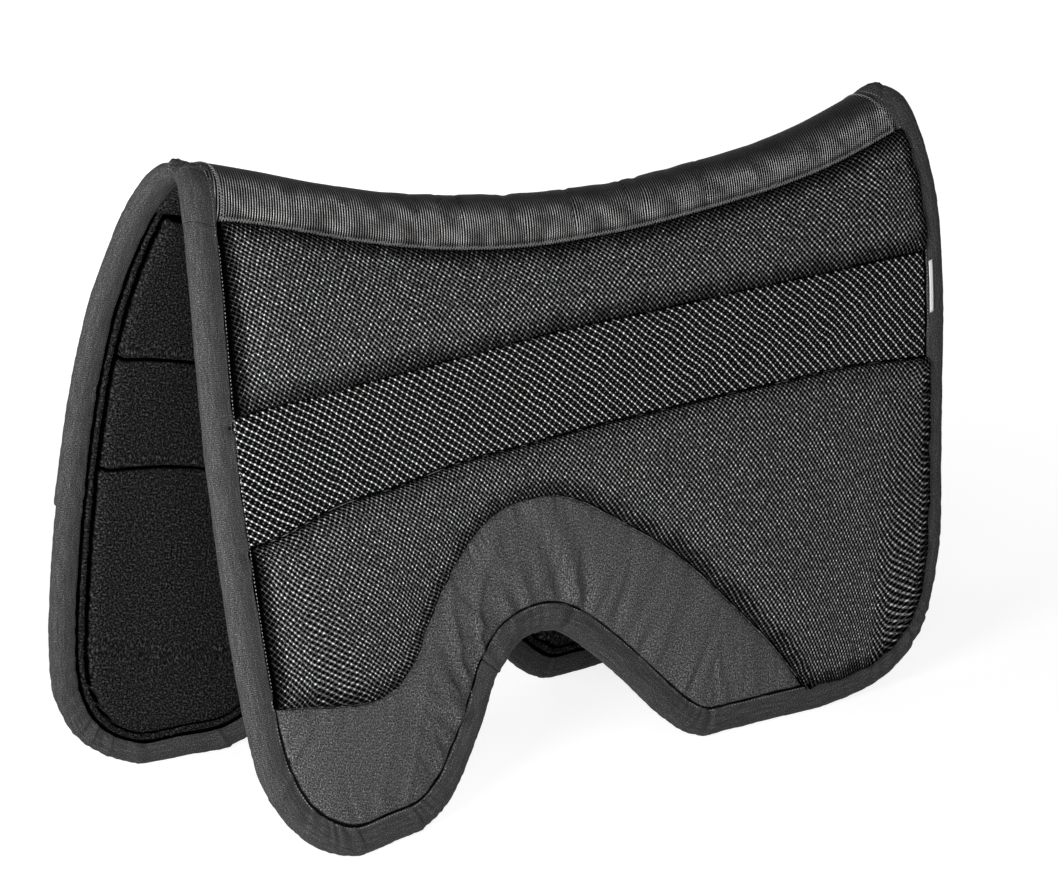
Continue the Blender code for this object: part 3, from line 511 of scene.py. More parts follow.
def capped_tube(name, rings, cloth, material):
    """Build a swept body from its rings, closed with a fan at both ends."""
    count, sides = rings.shape[:2]
    flat, cloth = rings.reshape(-1, 3), cloth.reshape(-1, 3)
    points, carried, faces = [flat], [cloth], tube_faces(count, sides).tolist()
    for k, (first, order) in enumerate(((0, 1), ((count - 1) * sides, -1))):
        points.append(flat[first:first + sides].mean(0)[None])
        carried.append(cloth[first:first + sides].mean(0)[None])
        ring = np.arange(first, first + sides)[::order]
        faces += [[int(b), int(a), len(flat) + k] for a, b in zip(ring, np.roll(ring, -1))]
    return made_mesh(name, np.concatenate(points), faces, np.concatenate(carried), material)


def thin_tube(name, path, up, radius, material, sides=5):
    """Build a thin round cord along a path, with up pointing off the cloth beside it."""
    run = unit(np.gradient(path, axis=0))
    across = unit(np.cross(run, up))
    over = np.cross(across, run)
    turn = (np.arange(sides) / sides * math.tau)[None, :, None]
    rings = path[:, None] + (across[:, None] * np.cos(turn) + over[:, None] * np.sin(turn)) * radius
    return capped_tube(name, rings, rings, material)


def laid_over(woven, points, ends):
    """Return places on the cloth that give it its real length over the walls of a stuffed piece.

    Lengthwise this counts only in the first and last columns, up to the number ends."""
    places = woven.copy()
    for axis in (0, 1):
        flat = np.diff(woven, axis=axis)
        length = np.maximum(np.linalg.norm(flat, axis=-1), 1e-9)
        spare = np.linalg.norm(np.diff(points, axis=axis), axis=-1) - length
        if axis == 0:
            spare[ends:-ends] = 0.0
        steps = flat * (np.maximum(spare, 0.0) / length)[..., None]
        total = np.concatenate([np.zeros_like(steps.take([0], axis)), np.cumsum(steps, axis=axis)], axis)
        places += total - total.take([total.shape[axis] // 2], axis)
    return places


def slab(name, grid, outer, inner, side, material, drift=0.0, weave=None, stretch_and_shade=0.0):
    """Build a closed piece over a grid of (x, s), between two heights, with a sideways drift.

    weave turns (x, s) into places on the cloth where that isn't cut along the horse, and
    stretch_and_shade is how far the cloth is drawn open, from 0 to 1, together with the painted
    seam shade that the materials read from it."""
    columns, rows = grid.shape[:2]
    moved = grid + drift
    top = place(moved[..., 0], side * moved[..., 1], outer)
    foot = place(grid[..., 0], side * grid[..., 1], inner)
    points = np.concatenate([top.reshape(-1, 3), foot.reshape(-1, 3)])
    index = np.arange(columns * rows).reshape(columns, rows)
    rim = np.r_[index[:, 0], index[-1, 1:], index[-2::-1, -1], index[0, -2:0:-1]]
    after, below = np.roll(rim, -1), columns * rows
    faces = np.concatenate([
        sheet_faces(columns, rows)[:, ::-1], sheet_faces(columns, rows, below),
        np.stack([rim, after, after + below, rim + below], -1)])
    woven = grid
    if weave is not None:
        woven = laid_over(np.stack(weave(grid[..., 0], grid[..., 1]), -1), top, len(END_INSETS))
    cloth = np.zeros((len(points), 3))
    cloth[:, :2] = np.concatenate([woven.reshape(-1, 2)] * 2)
    cloth[:, 2] = np.tile(np.broadcast_to(stretch_and_shade, (columns, rows)).ravel(), 2)
    return made_mesh(name, points, faces.tolist(), cloth, material)


# What each piece stands for and rides on
def declare(nodes):
    """Hide the solids that a piece stands for."""
    if nodes:
        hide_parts(*nodes)


def fasten(piece, slot_name, *nodes):
    """Fix a piece to the spine."""
    declare(nodes)
    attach(piece, "spine")


def hang(piece, word, slot_name, *nodes, depth=0.0):
    """Hang a piece of one flap: hide the solids it stands for and bake its place into its mesh.

    depth, how far the piece lies below the outer surface, is not used."""
    declare(nodes)
    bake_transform(piece)


def hang_tape(piece, word, at_front, *nodes):
    """Hang a piece of the edge: hide the solids it stands for and bake its place into its mesh; where its
    bend beside the spine would begin and end is worked out but not used.
    """
    declare(nodes)
    x = TAPE_CROSSINGS[0 if at_front else 1]
    start, end = (place(x, SIDE[word] * down, 0.0) for down in (TAPE_BEND_START, TAPE_BEND_END))
    start[0] = end[0]
    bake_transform(piece)


# Outer panels. A seam has its line, how far in the wall beside it reaches its height, how far the
# wall leans out over it, and how far the cloth is drawn open there, from 0 to 1, which opens the
# spacer mesh's holes and sets painted shade on its walls
Seam = namedtuple("Seam", "line reach lean opened")


def stuffed(grid, seams, wall, crown, crown_reach, tape_reach, tape_lean, pucker, seed, front_valley=0.0):
    """Return the height, the sideways drift, and the stretch with painted seam shade, of a stuffed piece.

    The tape holds the piece down along the flap's edge. The stretch runs from 0 to 1, and painted
    shade at the seam itself adds up to 1 more, to 2."""
    x, s = grid[..., 0], grid[..., 1]
    height, dome = np.ones((2, *x.shape))
    stretch_and_shade, painted_seam_shade, gathers = np.zeros((3, *x.shape))
    drift = np.zeros_like(grid)
    edge_gap, edge_near, edge_arc = line_distance(grid, COARSE_EDGE)
    at_front = 1.0 - ease(x / 0.06)
    valley = VALLEY + front_valley * at_front
    lean_out = tape_lean * (1.0 - at_front * np.minimum(front_valley / 0.002, 1.0))
    walls = [(edge_gap - TAPE_COVER - valley, toward(grid, edge_near, edge_gap), edge_arc, tape_reach,
              lean_out, 1.0)]
    for seam in seams:
        gap, near, arc = line_distance(grid, seam.line)
        walls.append((gap, toward(grid, near, gap), arc, seam.reach, seam.lean, seam.opened))
    for number, (gap, direction, arc, reach, lean, opened) in enumerate(walls):
        inside = np.maximum(gap, 0.0)
        height *= puff(inside, reach)
        dome *= ease(inside / crown_reach)
        ragged = reach * (1.7 + 0.35 * ripple(arc, 0.006, seed + 30 + number))
        stretch_and_shade = np.maximum(stretch_and_shade, opened * (1.0 - ease(inside / ragged)))
        # Painted shade: the cloth's colour darkens within SEAM_SHADE_REACH of each seam and of the tape
        painted_seam_shade = np.maximum(painted_seam_shade, 1.0 - ease(inside / SEAM_SHADE_REACH))
        leaning = np.sin(np.pi * np.clip(inside / reach, 0.0, 1.0)) * lean
        drift += direction * (leaning * (1.0 + 0.35 * ripple(arc, 0.011, seed + number)))[..., None]
        pull = inside / GATHER_PEAK * np.exp(1.0 - inside / GATHER_PEAK)
        fade = np.exp(-inside / GATHER_RUN) * np.clip(inside / 0.003, 0.0, 1.0)
        waves = ripple(arc, GATHER_PITCH, seed + 10 + number)
        gathers += waves * fade * (0.4 + 0.6 * np.minimum(pull, 1.0))
    uneven = patches(x, s, 0.038, seed) * 0.0007 + patches(x, s, 0.017, seed + 5) * 0.00025
    t = wall * height + crown * dome + (uneven + gathers * pucker) * height - SEAM_SINK
    return t, drift, stretch_and_shade + painted_seam_shade


def sewn_panel(word, name, solid, slot_name, material, grid, seams, fill, weave=along_band, creases=0.0,
               **stuffing):
    """Make one outer panel of a flap, stuffed between its seams and the tape."""
    t, drift, stretch_and_shade = stuffed(grid, seams, **stuffing)
    panel = slab(word + name, grid, t + creases, -SKIN, SIDE[word], material, drift, weave, stretch_and_shade)
    hang(panel, word, slot_name, word + solid)


# Both padded mesh panels are stuffed alike
PADDED = dict(crown=0.0045, crown_reach=0.050, tape_reach=0.0085, tape_lean=0.005, pucker=0.0007)


def upper_panel(word, material):
    """Padded mesh panel between the strip and the band."""
    grid = across_flap(SPINE_RAIL, BAND_TOP_RAIL, (0.018, 0.672), (-0.002, 0.666), LONG_COLUMNS, 22)
    seams = (Seam(SPINE_SEAM_LINE, reach=0.012, lean=0.002, opened=0.9),
             Seam(BAND_TOP_LINE, reach=0.011, lean=0.004, opened=0.8))
    sewn_panel(word, "_upper_panel", "_upper_mesh_panel", "spacer_mesh", material, grid, seams, 0.7,
               wall=0.0082, seed=3, front_valley=0.0030, **PADDED)


def band(word, material):
    """Coarse net band that crosses the flap slantwise."""
    grid = across_flap(BAND_TOP_RAIL, BAND_FOOT_RAIL, (-0.004, 0.666), (-0.004, 0.656), LONG_COLUMNS, 12)
    seams = (Seam(BAND_TOP_LINE, reach=0.012, lean=0.0, opened=1.0),
             Seam(BAND_FOOT_LINE, reach=0.010, lean=0.001, opened=1.0))
    sewn_panel(word, "_net_band", "_mesh_band", "coarse_mesh", material, grid, seams, 0.4,
               wall=0.0024, crown=0.0016, crown_reach=0.036, tape_reach=0.010, tape_lean=0.001,
               pucker=0.0002, seed=23)


def lower_panel(word, material):
    """Padded mesh panel below the band: it bulges over the arch and reaches the rear edge."""
    tops = between([-0.004, 0.008, *BAND_COLUMNS], 9)
    feet = between([-0.001, 0.0145, *WEAR_XS], 9)
    over_wear = straight(BAND_FOOT_RAIL, tops, WEAR_RAIL, feet, 26, ease((tops - 0.515) / 0.027))
    start, end = ARC_ON_FOOT(WEAR_SEAM[-1][0]), ARC_ON_REAR(BAND_FOOT_RAIL(0.708))
    rear_tops = np.linspace(BAND_COLUMNS[-1], 0.7085, 100)[1:]
    arcs = start + (end - start) * np.linspace(0.0, 1.0, 100)[1:] ** 0.92
    grid = np.concatenate([
        end_columns(0, BAND_FOOT_RAIL, WEAR_RAIL, tops[0], 26), over_wear,
        fan_to_edge(BAND_FOOT_RAIL, rear_tops, arcs, 26)])
    seams = (Seam(BAND_FOOT_LINE, reach=0.013, lean=0.001, opened=0.3),
             Seam(WEAR_LINE, reach=0.011, lean=0.004, opened=0.7))
    sewn_panel(word, "_lower_panel", "_lower_mesh_panel", "spacer_mesh", material, grid, seams, 0.7,
               wall=0.0086, seed=43, front_valley=0.0027, **PADDED)


def arch_wrinkles(grid):
    """Return the folds of the smooth cloth: round the girth arch, over the lobe and at the seam."""
    gap, _, arc = line_distance(grid, COARSE_EDGE)
    seam_gap, _, seam_arc = line_distance(grid, WEAR_LINE)
    x, s = grid[..., 0], grid[..., 1]
    off_tape = np.clip((gap - TAPE_COVER) / 0.008, 0.0, 1.0)
    # Round the girth arch the folds run straight out from the tape, and some slant
    by_arch = ease((x - 0.08) / 0.07) * (1.0 - 0.7 * ease((x - 0.34) / 0.14))
    by_arch = off_tape * np.exp(-np.maximum(gap - 0.04, 0) / 0.045) * by_arch
    fan = ripple(arc + gap * 0.25, 0.0085, 301) + 0.5 * ripple(arc, 0.0045, 302)
    slanting = np.maximum(ripple(arc - gap * 0.7, 0.013, 304), 0.0) ** 2
    # On the lobe they slant the other way, with a few broad ones
    on_lobe = ease((0.20 - x) / 0.10) * off_tape * np.exp(-np.maximum(gap - 0.03, 0) / 0.05)
    beside_tape = np.exp(-np.maximum(gap - TAPE_COVER, 0.0) / 0.012)
    lobe_folds = ripple(arc + gap * 0.9, 0.010, 303) * (0.3 + beside_tape)
    broad = np.maximum(ripple(x + (s - 0.43) * 0.35, 0.014, 306), 0.0) ** 2
    lobe_folds += 1.6 * broad * ease((x - 0.03) / 0.03)
    # Short gathers along the front of the wear seam
    gathers = ripple(seam_arc + seam_gap * 0.5, 0.0050, 305) * np.exp(-seam_gap / 0.016)
    gathers = gathers * np.clip(seam_gap / 0.004, 0.0, 1.0) * (1.0 - ease((x - 0.24) / 0.06))
    return (0.0032 * fan + 0.0034 * slanting) * by_arch + 0.0019 * lobe_folds * on_lobe + 0.0011 * gathers


def wear_panel(word, material):
    """Smooth padded panel with the front lobe, round the girth arch."""
    start, lobe_end = ARC_ON_FRONT(WEAR_SEAM[0][1] + 0.002), ARC_ON_FOOT(WEAR_FOOT_COLUMNS[0])
    tops = between([*np.linspace(-0.0535, WEAR_XS[0], 9)[:-1], *WEAR_XS], 14)
    arcs = between([*np.linspace(start, lobe_end, 9)[:-1], *ARC_ON_FOOT(np.array(WEAR_FOOT_COLUMNS))], 14)
    grid = fan_to_edge(WEAR_RAIL, tops, arcs, 20)
    sewn_panel(word, "_wear_piece", "_wear_panel", "nylon_twill", material, grid,
               [Seam(WEAR_LINE, reach=0.010, lean=0.0, opened=1.0)], 0.45, None, arch_wrinkles(grid),
               wall=0.0028, crown=0.0018, crown_reach=0.030, tape_reach=0.009, tape_lean=0.001,
               pucker=0.0010, seed=63, front_valley=0.001)


def seam_edge(name, word, seam, start, end, slot_name, material):
    """Turned edge of the upper cloth along a seam: a thin uneven roll beside the seam's groove."""
    xs = np.linspace(start, end, round((end - start) / 0.0016))
    s = SIDE[word] * (seam(xs) + SEAM_EDGE_OFFSET + 0.0004 * ripple(xs, 0.006, 71))
    path = place(xs, s, SEAM_EDGE_RADIUS * (0.9 + 0.5 * ripple(xs, 0.0042, 72)))
    hang(thin_tube(word + name, path, square_to(xs, s), SEAM_EDGE_RADIUS, material), word, slot_name)


# The strip over the spine
def strip_height(x, s):
    """Return the strip's height: a little stuffed, creased across in the dip of the back."""
    seam_gap = SPINE_RAIL(x) - np.abs(s)
    edge_gap, _, _ = line_distance(np.stack([x, np.abs(s)], -1), COARSE_EDGE)
    full = puff(seam_gap, 0.012) * puff(edge_gap - TAPE_COVER + 0.001, 0.010)
    dip = bell(x - 0.36, 0.16) * puff(seam_gap - 0.004, 0.020)
    crease = patches(x * 0.7 - s * 0.5, s * 0.3 + x * 0.12, 0.012, 7)
    fold = np.minimum(np.abs(patches(x * 0.5 - s * 0.28, s * 0.10, 0.012, 8)) * 5.0, 1.0) - 1.0
    return -SEAM_SINK + full * (0.0030 + dip * (0.0009 * crease + 0.0020 * fold)
                                + 0.0005 * patches(x, s, 0.045, 9))


def strip_row(which, distance, shares):
    """Return a row over the spine at a distance in from the front edge (which 0) or the rear (1)."""
    x = edge_rails(distance)[which](np.abs(shares) * SPINE_RAIL(STRIP_ENDS[which]))
    return np.stack([x, shares * SPINE_RAIL(x)], -1)


def strip_columns(rows, count):
    """Return a layout over the spine whose columns follow the front and rear edges."""
    shares = np.sin(np.linspace(-1.0, 1.0, rows) * np.pi / 2)
    even = [np.stack([np.full_like(shares, x), shares * SPINE_RAIL(x)], -1)
            for x in np.linspace(0.032, 0.672, count)]
    return np.array([strip_row(0, distance, shares) for distance in END_INSETS] + even
                    + [strip_row(1, distance, shares) for distance in END_INSETS[::-1]])


def overlock(name, first, second, material):
    """Sew a zigzag of thread between two rows of places on the strip."""
    rows = [place(*row.T, np.maximum(strip_height(*row.T), 0.0001) + 0.0003) for row in (first, second)]
    arc = run_along(rows[0])
    spots = np.arange(0.0, arc[-1], OVERLOCK_PITCH / 4)
    quarter = np.arange(len(spots)) % 4
    swing = np.array([0.0, 0.5, 1.0, 0.5])[quarter][:, None]
    near, far = (on_path(spots, arc, row) for row in rows)
    up = square_to(*on_path(spots, arc, first).T)
    lift = np.array([-0.5, 1.0, -0.5, 1.0])[quarter] * OVERLOCK_RADIUS
    path = near * (1 - swing) + far * swing + up * lift[:, None]
    fasten(thin_tube(name, path, up, OVERLOCK_RADIUS, material), "ribbed_webbing")


def spine_strip(material, thread):
    """Slightly stuffed ribbed strip over the spine line, overlocked along its edges."""
    grid = strip_columns(61, 260)
    x, s = grid[..., 0], grid[..., 1]
    # Painted shade towards the strip's sewn edges, beside the overlock
    painted_seam_shade = 1.0 - ease((SPINE_RAIL(x) - np.abs(s) - OVERLOCK_WIDTH) / 0.006)
    strip = slab("spine_webbing", grid, strip_height(x, s), -SKIN, 1.0, material, stretch_and_shade=painted_seam_shade * 0.6)
    fasten(strip, "ribbed_webbing", "spine_strip")
    xs = np.linspace(-0.012, 0.703, 500)
    for word, side in SIDE.items():
        rows = [np.stack([xs, side * (SPINE_RAIL(xs) - inset)], -1) for inset in (OVERLOCK_WIDTH, 0.0)]
        overlock(word + "_overlock", *rows, thread)
    shares = np.linspace(-0.97, 0.97, 90)
    for which, word in enumerate(("front", "rear")):
        rows = [strip_row(which, distance, shares) for distance in OVERLOCK_INSETS]
        overlock(word + "_overlock", *rows, thread)


# The edge
def tape_section():
    """Return the folded tape's section as (in from the edge, height), from its outer inner edge."""
    return np.array([
        (TAPE_COVER - 0.0002, 0.0001), (TAPE_COVER + 0.0001, 0.0007), (TAPE_COVER, 0.0014),
        (0.0225, 0.0018), (0.0212, 0.0017), (0.0195, 0.0020), (0.0165, 0.0029), (0.0130, 0.0035),
        (0.0095, 0.0035), (0.0062, 0.0027), (0.0034, 0.0011), (0.0013, -0.0012), (0.0002, -0.0038),
        (0.0000, -0.0064), (0.0008, -0.0090), (0.0026, -0.0112), (0.0054, -0.0128),
        (0.0090, -0.0136), (0.0130, -0.0136), (0.0165, -0.0130), (TAPE_LINING_COVER - 0.0012, -0.0124),
        (TAPE_LINING_COVER - 0.0002, -0.0122), (TAPE_LINING_COVER, -0.0116),
        (TAPE_LINING_COVER - 0.0004, FOLD_UNDER), (0.0060, FOLD_UNDER), (0.0040, -0.0095),
        (0.0040, -0.0020), (0.0060, 0.0001),
    ])


def tape_route(at_front):
    """Return one tape's route over both flaps as (x, signed s), its arc and its inward directions."""
    joint = ARCH_JOINT * EDGE_SPLITS
    half = EDGE_LINE[:joint + 1] if at_front else EDGE_LINE[joint:][::-1]
    route = np.concatenate([(half[::-1] * (1.0, -1.0))[:-1], half])
    arc = run_along(route)
    even = np.linspace(0.0, arc[-1], round(arc[-1] / ROUTE_STEP))
    route = on_path(even, arc, route)
    return route, even, inward(route) * (1.0 if at_front else -1.0)


def tape_waves(places, x, s, e, around, bent, over_spine, seed):
    """Return how far the tape waves up: gathers at bends, creases over the spine, dents at seams."""
    # Gathers that slant across it, strongest at bends and off the folded edge, and finer ones
    slanted = places[:, None] + around * 0.35
    off_fold = 0.25 + np.clip(e / 0.007, 0.0, 1.0)
    waves = ripple(slanted, 0.0048, seed) * (0.00016 + 0.00150 * bent * off_fold)
    waves += ripple(slanted + 0.3 * ripple(around, 0.006, seed + 9) * 0.003, 0.0022, seed + 20) * (
        0.00006 + 0.00030 * bent)
    # A slow swelling along it, and faint folds that run lengthwise
    waves += ripple(places, 0.021, seed + 40)[:, None] * 0.0003
    lengthwise = ripple(around + 0.3 * ripple(places, 0.03, seed + 8)[:, None] * 0.004, 0.0036, seed + 50)
    waves += lengthwise * 0.00022
    # Mitre creases over the spine, with a low ridge beside each
    for slant in (-0.9, 0.8):
        crease = s[:, None] - slant * (e - 0.004)
        waves -= 0.0022 * bell(crease, 0.0012) * over_spine
        waves += 0.0003 * bell(crease - 0.004, 0.003) * over_spine
    # A dent where each seam of the flap meets it, between two low swellings
    for seam in (BAND_TOP_RAIL, BAND_FOOT_RAIL, WEAR_RAIL):
        off_seam = np.abs(s) - seam(x)
        pinch = bell(off_seam, 0.0030) - 0.4 * bell(np.abs(off_seam) - 0.008, 0.005)
        waves -= 0.0024 * pinch[:, None] * (e / TAPE_COVER) ** 2
    return waves


def swept_tape(name, at_front, start, end, laps, material):
    """Build the tape along part of its route.

    laps lists arcs where one tape end lies over the next, with the side (1 after, -1 before)
    on which the tape stands proud."""
    route, arc, into = tape_route(at_front)
    turn = np.gradient(np.unwrap(np.arctan2(into[:, 1], into[:, 0])), arc)
    blur = np.ones(21) / 21
    turn = np.abs(np.convolve(turn, blur, "same"))
    top_start, top_end = (arc[np.argmax(route[:, 1] > s)] for s in (-TOP_REACH, TOP_REACH))
    step = TOP_RING_STEP if start > top_start and end < top_end else RING_STEP
    places = np.linspace(start, end, round((end - start) / step))
    for lap, _ in laps:
        if start < lap < end:
            places = np.sort(np.r_[places, lap - 0.00025, lap + 0.00025])
    x, s, ix, iy, bend = (np.interp(places, arc, v) for v in (*route.T, *into.T, turn))
    size = np.hypot(ix, iy)
    section = tape_section()
    turned = np.roll(section, -1, 0) - np.roll(section, 1, 0)
    normal = unit(np.stack([turned[:, 1], -turned[:, 0]], -1))
    number = np.arange(len(section))
    shown = np.clip(np.minimum(number - 0.5, LAST_SHOWN - 0.5 - number) / 3.0, 0.0, 1.0)
    e, height = section[:, 0][None], section[:, 1][None]
    proud = np.zeros_like(places)
    for lap, which in laps:
        beyond = (places - lap) * which
        proud += np.where(beyond > 0, LAP_RISE * np.exp(-np.maximum(beyond, 0) / LAP_FADE), 0.0)
        proud -= np.where((beyond <= 0) & (beyond > -0.0020), 0.0003, 0.0)
    bent = np.clip(bend / 16.0, 0.0, 1.0)[:, None]
    over_spine = bell(s, 0.060)[:, None]
    around = run_along(section)
    seed = 5 if at_front else 6
    waves = tape_waves(places, x, s, e, around, bent, over_spine, seed)
    lifted = (waves + proud[:, None]) * shown
    sway = 0.0005 * ripple(places, 0.009, seed + 60)[:, None]
    e, height = (e * (1.0 + 0.16 * over_spine) + lifted * normal[:, 0] + sway * (e / TAPE_COVER) ** 2,
                 height + lifted * normal[:, 1])
    rings = place(x[:, None] + (ix / size)[:, None] * e, s[:, None] + (iy / size)[:, None] * e, height)
    rings[..., 2] = np.maximum(rings[..., 2], 0.0)
    cloth = np.zeros(rings.shape)
    cloth[..., 0], cloth[..., 1] = places[:, None], around[None]
    # Painted shade along the tape's two inner edges, where it meets the panel and the felt
    cloth[..., 2] = np.clip(1.0 - around / 0.0030, 0.0, 1.0) + (number == LAST_SHOWN - 1)
    return capped_tube(name, rings, cloth, material)


def bead_row(name, x, s, t, material):
    """Build a row of stitches along a line of places (signed s)."""
    line = place(x, s, t)
    arc = run_along(line)
    spots = np.arange(STITCH_PITCH / 2, arc[-1], STITCH_PITCH)
    centres = on_path(spots, arc, line)
    along = unit(on_path(spots + 0.001, arc, line) - on_path(spots - 0.001, arc, line))
    # Stitches below the panels' own thickness are on the felt, and stand off it the other way
    outside = 1.0 if np.mean(t) > -SKIN else -1.0
    up = square_to(np.interp(spots, arc, x), np.interp(spots, arc, s)) * outside
    up = unit(up - along * (up * along).sum(1, keepdims=True))
    centres[:, 2] = np.maximum(centres[:, 2], 2 * STITCH_RADIUS)
    return thread_beads(name, centres, along, up, material)


def thread_beads(name, centres, along, up, material):
    """Build short stitches: beads of thread whose two ends dip into the cloth."""
    across = np.cross(up, along)
    run = np.array([-0.5, -0.36, -0.14, 0.14, 0.36, 0.5]) * STITCH_LENGTH
    width = np.array([0.45, 0.85, 1.0, 1.0, 0.85, 0.45]) * STITCH_RADIUS
    lift = np.array([-1.1, -0.35, 0.0, 0.0, -0.35, -1.1]) * STITCH_RADIUS
    turn = np.arange(6) / 6 * math.tau
    middle = centres[:, None] + along[:, None] * run[:, None] + up[:, None] * lift[:, None]
    ring = across[:, None, None] * np.cos(turn)[:, None] + up[:, None, None] * np.sin(turn)[:, None]
    points = middle[:, :, None] + ring * width[:, None, None]
    count, rings, sides = points.shape[:3]
    index = np.arange(count * rings * sides).reshape(count, rings, sides)
    faces = (tube_faces(rings, sides) + index[:, :1, :1]).reshape(-1, 4)
    caps = np.concatenate([index[:, 0, ::-1], index[:, -1]])
    points = points.reshape(-1, 3)
    return made_mesh(name, points, faces.tolist() + caps.tolist(), points, material)


def edge_stitches(name, at_front, start, end, distance, height, material):
    """Stitches along the binding tape, at a distance in from the edge and a height."""
    route, arc, into = tape_route(at_front)
    inside = (arc >= start) & (arc <= end)
    down = np.abs(route[inside, 1])
    begun, ended = (ease((down - at) / VALLEY_CHANGE) for at in (VALLEY_BEGINS, VALLEY_ENDS))
    in_valley = begun * (1.0 - ended) * (height > 0) * at_front
    apart = distance + (VALLEY_STITCHES[0] - distance) * in_valley
    x, s = (route[inside] + into[inside] * apart[:, None]).T
    return bead_row(name, x, s, height * (1.0 - in_valley) + VALLEY_STITCHES[1] * in_valley, material)


def tapes(material, thread, black_thread):
    """Binding tape: a front and a rear run over both flaps and the spine, cut at the seams."""
    for at_front, word in ((True, "_front"), (False, "_rear")):
        route, arc, _ = tape_route(at_front)
        over = arc[np.abs(route[:, 1]) < SPINE_RAIL(route[:, 0])]
        laps = [(arc[np.argmax(route[:, 1] > OFF_LAP)], -1)] if at_front else [(0.0, 1), (arc[-1], -1)]
        ends = (arc[0], over[0], over[-1], arc[-1])
        for part, start, end in zip(("near", "spine", "off"), ends, ends[1:]):
            name = part + word
            tape = swept_tape(name + "_tape", at_front, start, end, laps, material)
            sewn = [edge_stitches(name + "_stitches", at_front, start, end, *TAPE_STITCHES, thread),
                    edge_stitches(name + "_felt_stitches", at_front, start, end, *FELT_STITCHES,
                                  black_thread)]
            for piece, nodes in ((tape, [name + "_binding"]), (sewn[0], []), (sewn[1], [])):
                if part == "spine":
                    fasten(piece, "binding_tape", *nodes)
                else:
                    hang_tape(piece, part, at_front, *nodes)


# The lining
def lining_grids():
    """Return the layout of each felt channel of one flap, with its upper and lower line."""
    first, second, third = CHANNEL_RAILS
    upper = across_flap(SPINE_RAIL, first, (0.018, 0.672), (-0.002, 0.665), FELT_COLUMNS, 26)
    middle = across_flap(first, second, (-0.002, 0.665), (-0.006, 0.652), FELT_COLUMNS, 16)
    lobe_xs, lobe_feet = (np.linspace(x, LOBE_LINING_END, 44) for x in (-0.005, -0.001))
    arch_xs = np.linspace(LOBE_LINING_END, REAR_LINING_START, 60)[1:-1]
    rear_xs, rear_feet = (np.linspace(REAR_LINING_START, x, 62) for x in (0.650, 0.626))
    lower = edge_to_edge(second, third, lobe_xs[0], rear_xs[-1], 20,
                         straight(second, lobe_xs, third, lobe_feet, 20),
                         fan_to_edge(second, arch_xs, ARC_ON_FOOT(arch_xs), 20),
                         straight(second, rear_xs, third, rear_feet, 20))
    start, end = (side(LOWEST_CHANNEL + 0.002) for side in (ARC_ON_FRONT, ARC_ON_REAR))
    lobe = fan_to_edge(third, np.linspace(-0.054, LOBE_LINING_END, 110),
                       np.linspace(start, ARC_ON_FOOT(LOBE_LINING_END), 110), 14)
    rear = fan_to_edge(third, np.linspace(REAR_LINING_START, 0.684, 90),
                       np.linspace(ARC_ON_FOOT(REAR_LINING_START), end, 90), 6)
    return (("upper", upper, SPINE_RAIL, first), ("middle", middle, first, second),
            ("lower", lower, second, third), ("lobe", lobe, third, third), ("rear", rear, third, third))


def felt_faces(edge_gap):
    """Return how free of the squeezed edge the felt is, and its two flat faces there."""
    free = ease((edge_gap - 0.016) / 0.016)
    back = EDGE_FELT_BACK + (LINING_TOP - EDGE_FELT_BACK) * free
    return free, back, EDGE_FELT_FACE + (LINING_FACE + 0.0006 - EDGE_FELT_FACE) * free


def lining_pieces(word, material):
    """Felt lining of one flap: five channels, each puffed between its sewn edges."""
    for number, (part, grid, top, foot) in enumerate(lining_grids()):
        x, s = grid[..., 0], grid[..., 1]
        edge_gap, _, edge_arc = line_distance(grid, COARSE_EDGE)
        beside_tape = edge_gap - TAPE_LINING_COVER
        full = puff(beside_tape - 0.010, 0.012)
        # Painted shade in the felt: a shadow beside the tape, a dark line in the sewn groove, and darkening
        # along each channel seam
        painted_seam_shade = np.maximum(bell(beside_tape - FELT_SHADOW, 0.0022),
                             0.8 * bell(beside_tape - FELT_GROOVE, 0.0016))
        inside = ease((beside_tape - 0.006) / 0.012)
        gather = 0.0
        for k, (seam, reach, painted_shade_reach) in enumerate(((top, 0.026, 0.0085), (foot, 0.009, 0.0030))):
            gap, near, arc = line_distance(grid, on_rail(SEAM_XS, seam))
            full = full * puff(gap, reach)
            gather = gather + ripple(arc, 0.011, 90 + 2 * number + k) * np.exp(-gap / 0.02)
            painted_seam_shade = np.maximum(painted_seam_shade, (1.0 - ease(gap / painted_shade_reach)) * inside)
        lean = np.sin(np.pi * np.clip(gap / reach, 0.0, 1.0)) * 0.0052 * inside
        free, back, t = felt_faces(edge_gap)
        t = t - full * (0.0062 + 0.0009 * gather + 0.0008 * patches(x, s, 0.040, 80 + number))
        t = t + 0.0018 * bell(beside_tape - FELT_GROOVE, 0.0020) * (1.0 + 0.6 * ripple(edge_arc, 0.004, 87))
        t = t - 0.0016 * bell(beside_tape - FELT_RIDGE, 0.0026) * (1.0 + 0.8 * ripple(edge_arc, 0.005, 88))
        drift = toward(grid, near, gap) * lean[..., None] * free[..., None]
        piece = slab(word + "_" + part + "_felt", grid, t, back, SIDE[word], material, drift,
                     stretch_and_shade=painted_seam_shade)
        hang(piece, word, "felt_lining", word + "_" + part + "_lining", depth=LINING_DEPTH)


def spine_felt(material):
    """Felt under the spine, between the two flaps' linings."""
    grid = strip_columns(31, 160)
    x, s = grid[..., 0], np.abs(grid[..., 1])
    free, back, t = felt_faces(line_distance(np.stack([x, s], -1), COARSE_EDGE)[0])
    felt_piece = slab("spine_felt", grid, t - 0.0024 * puff(SPINE_RAIL(x) - s, 0.012) * free, back, 1.0,
                      material)
    fasten(felt_piece, "felt_lining", "spine_lining")


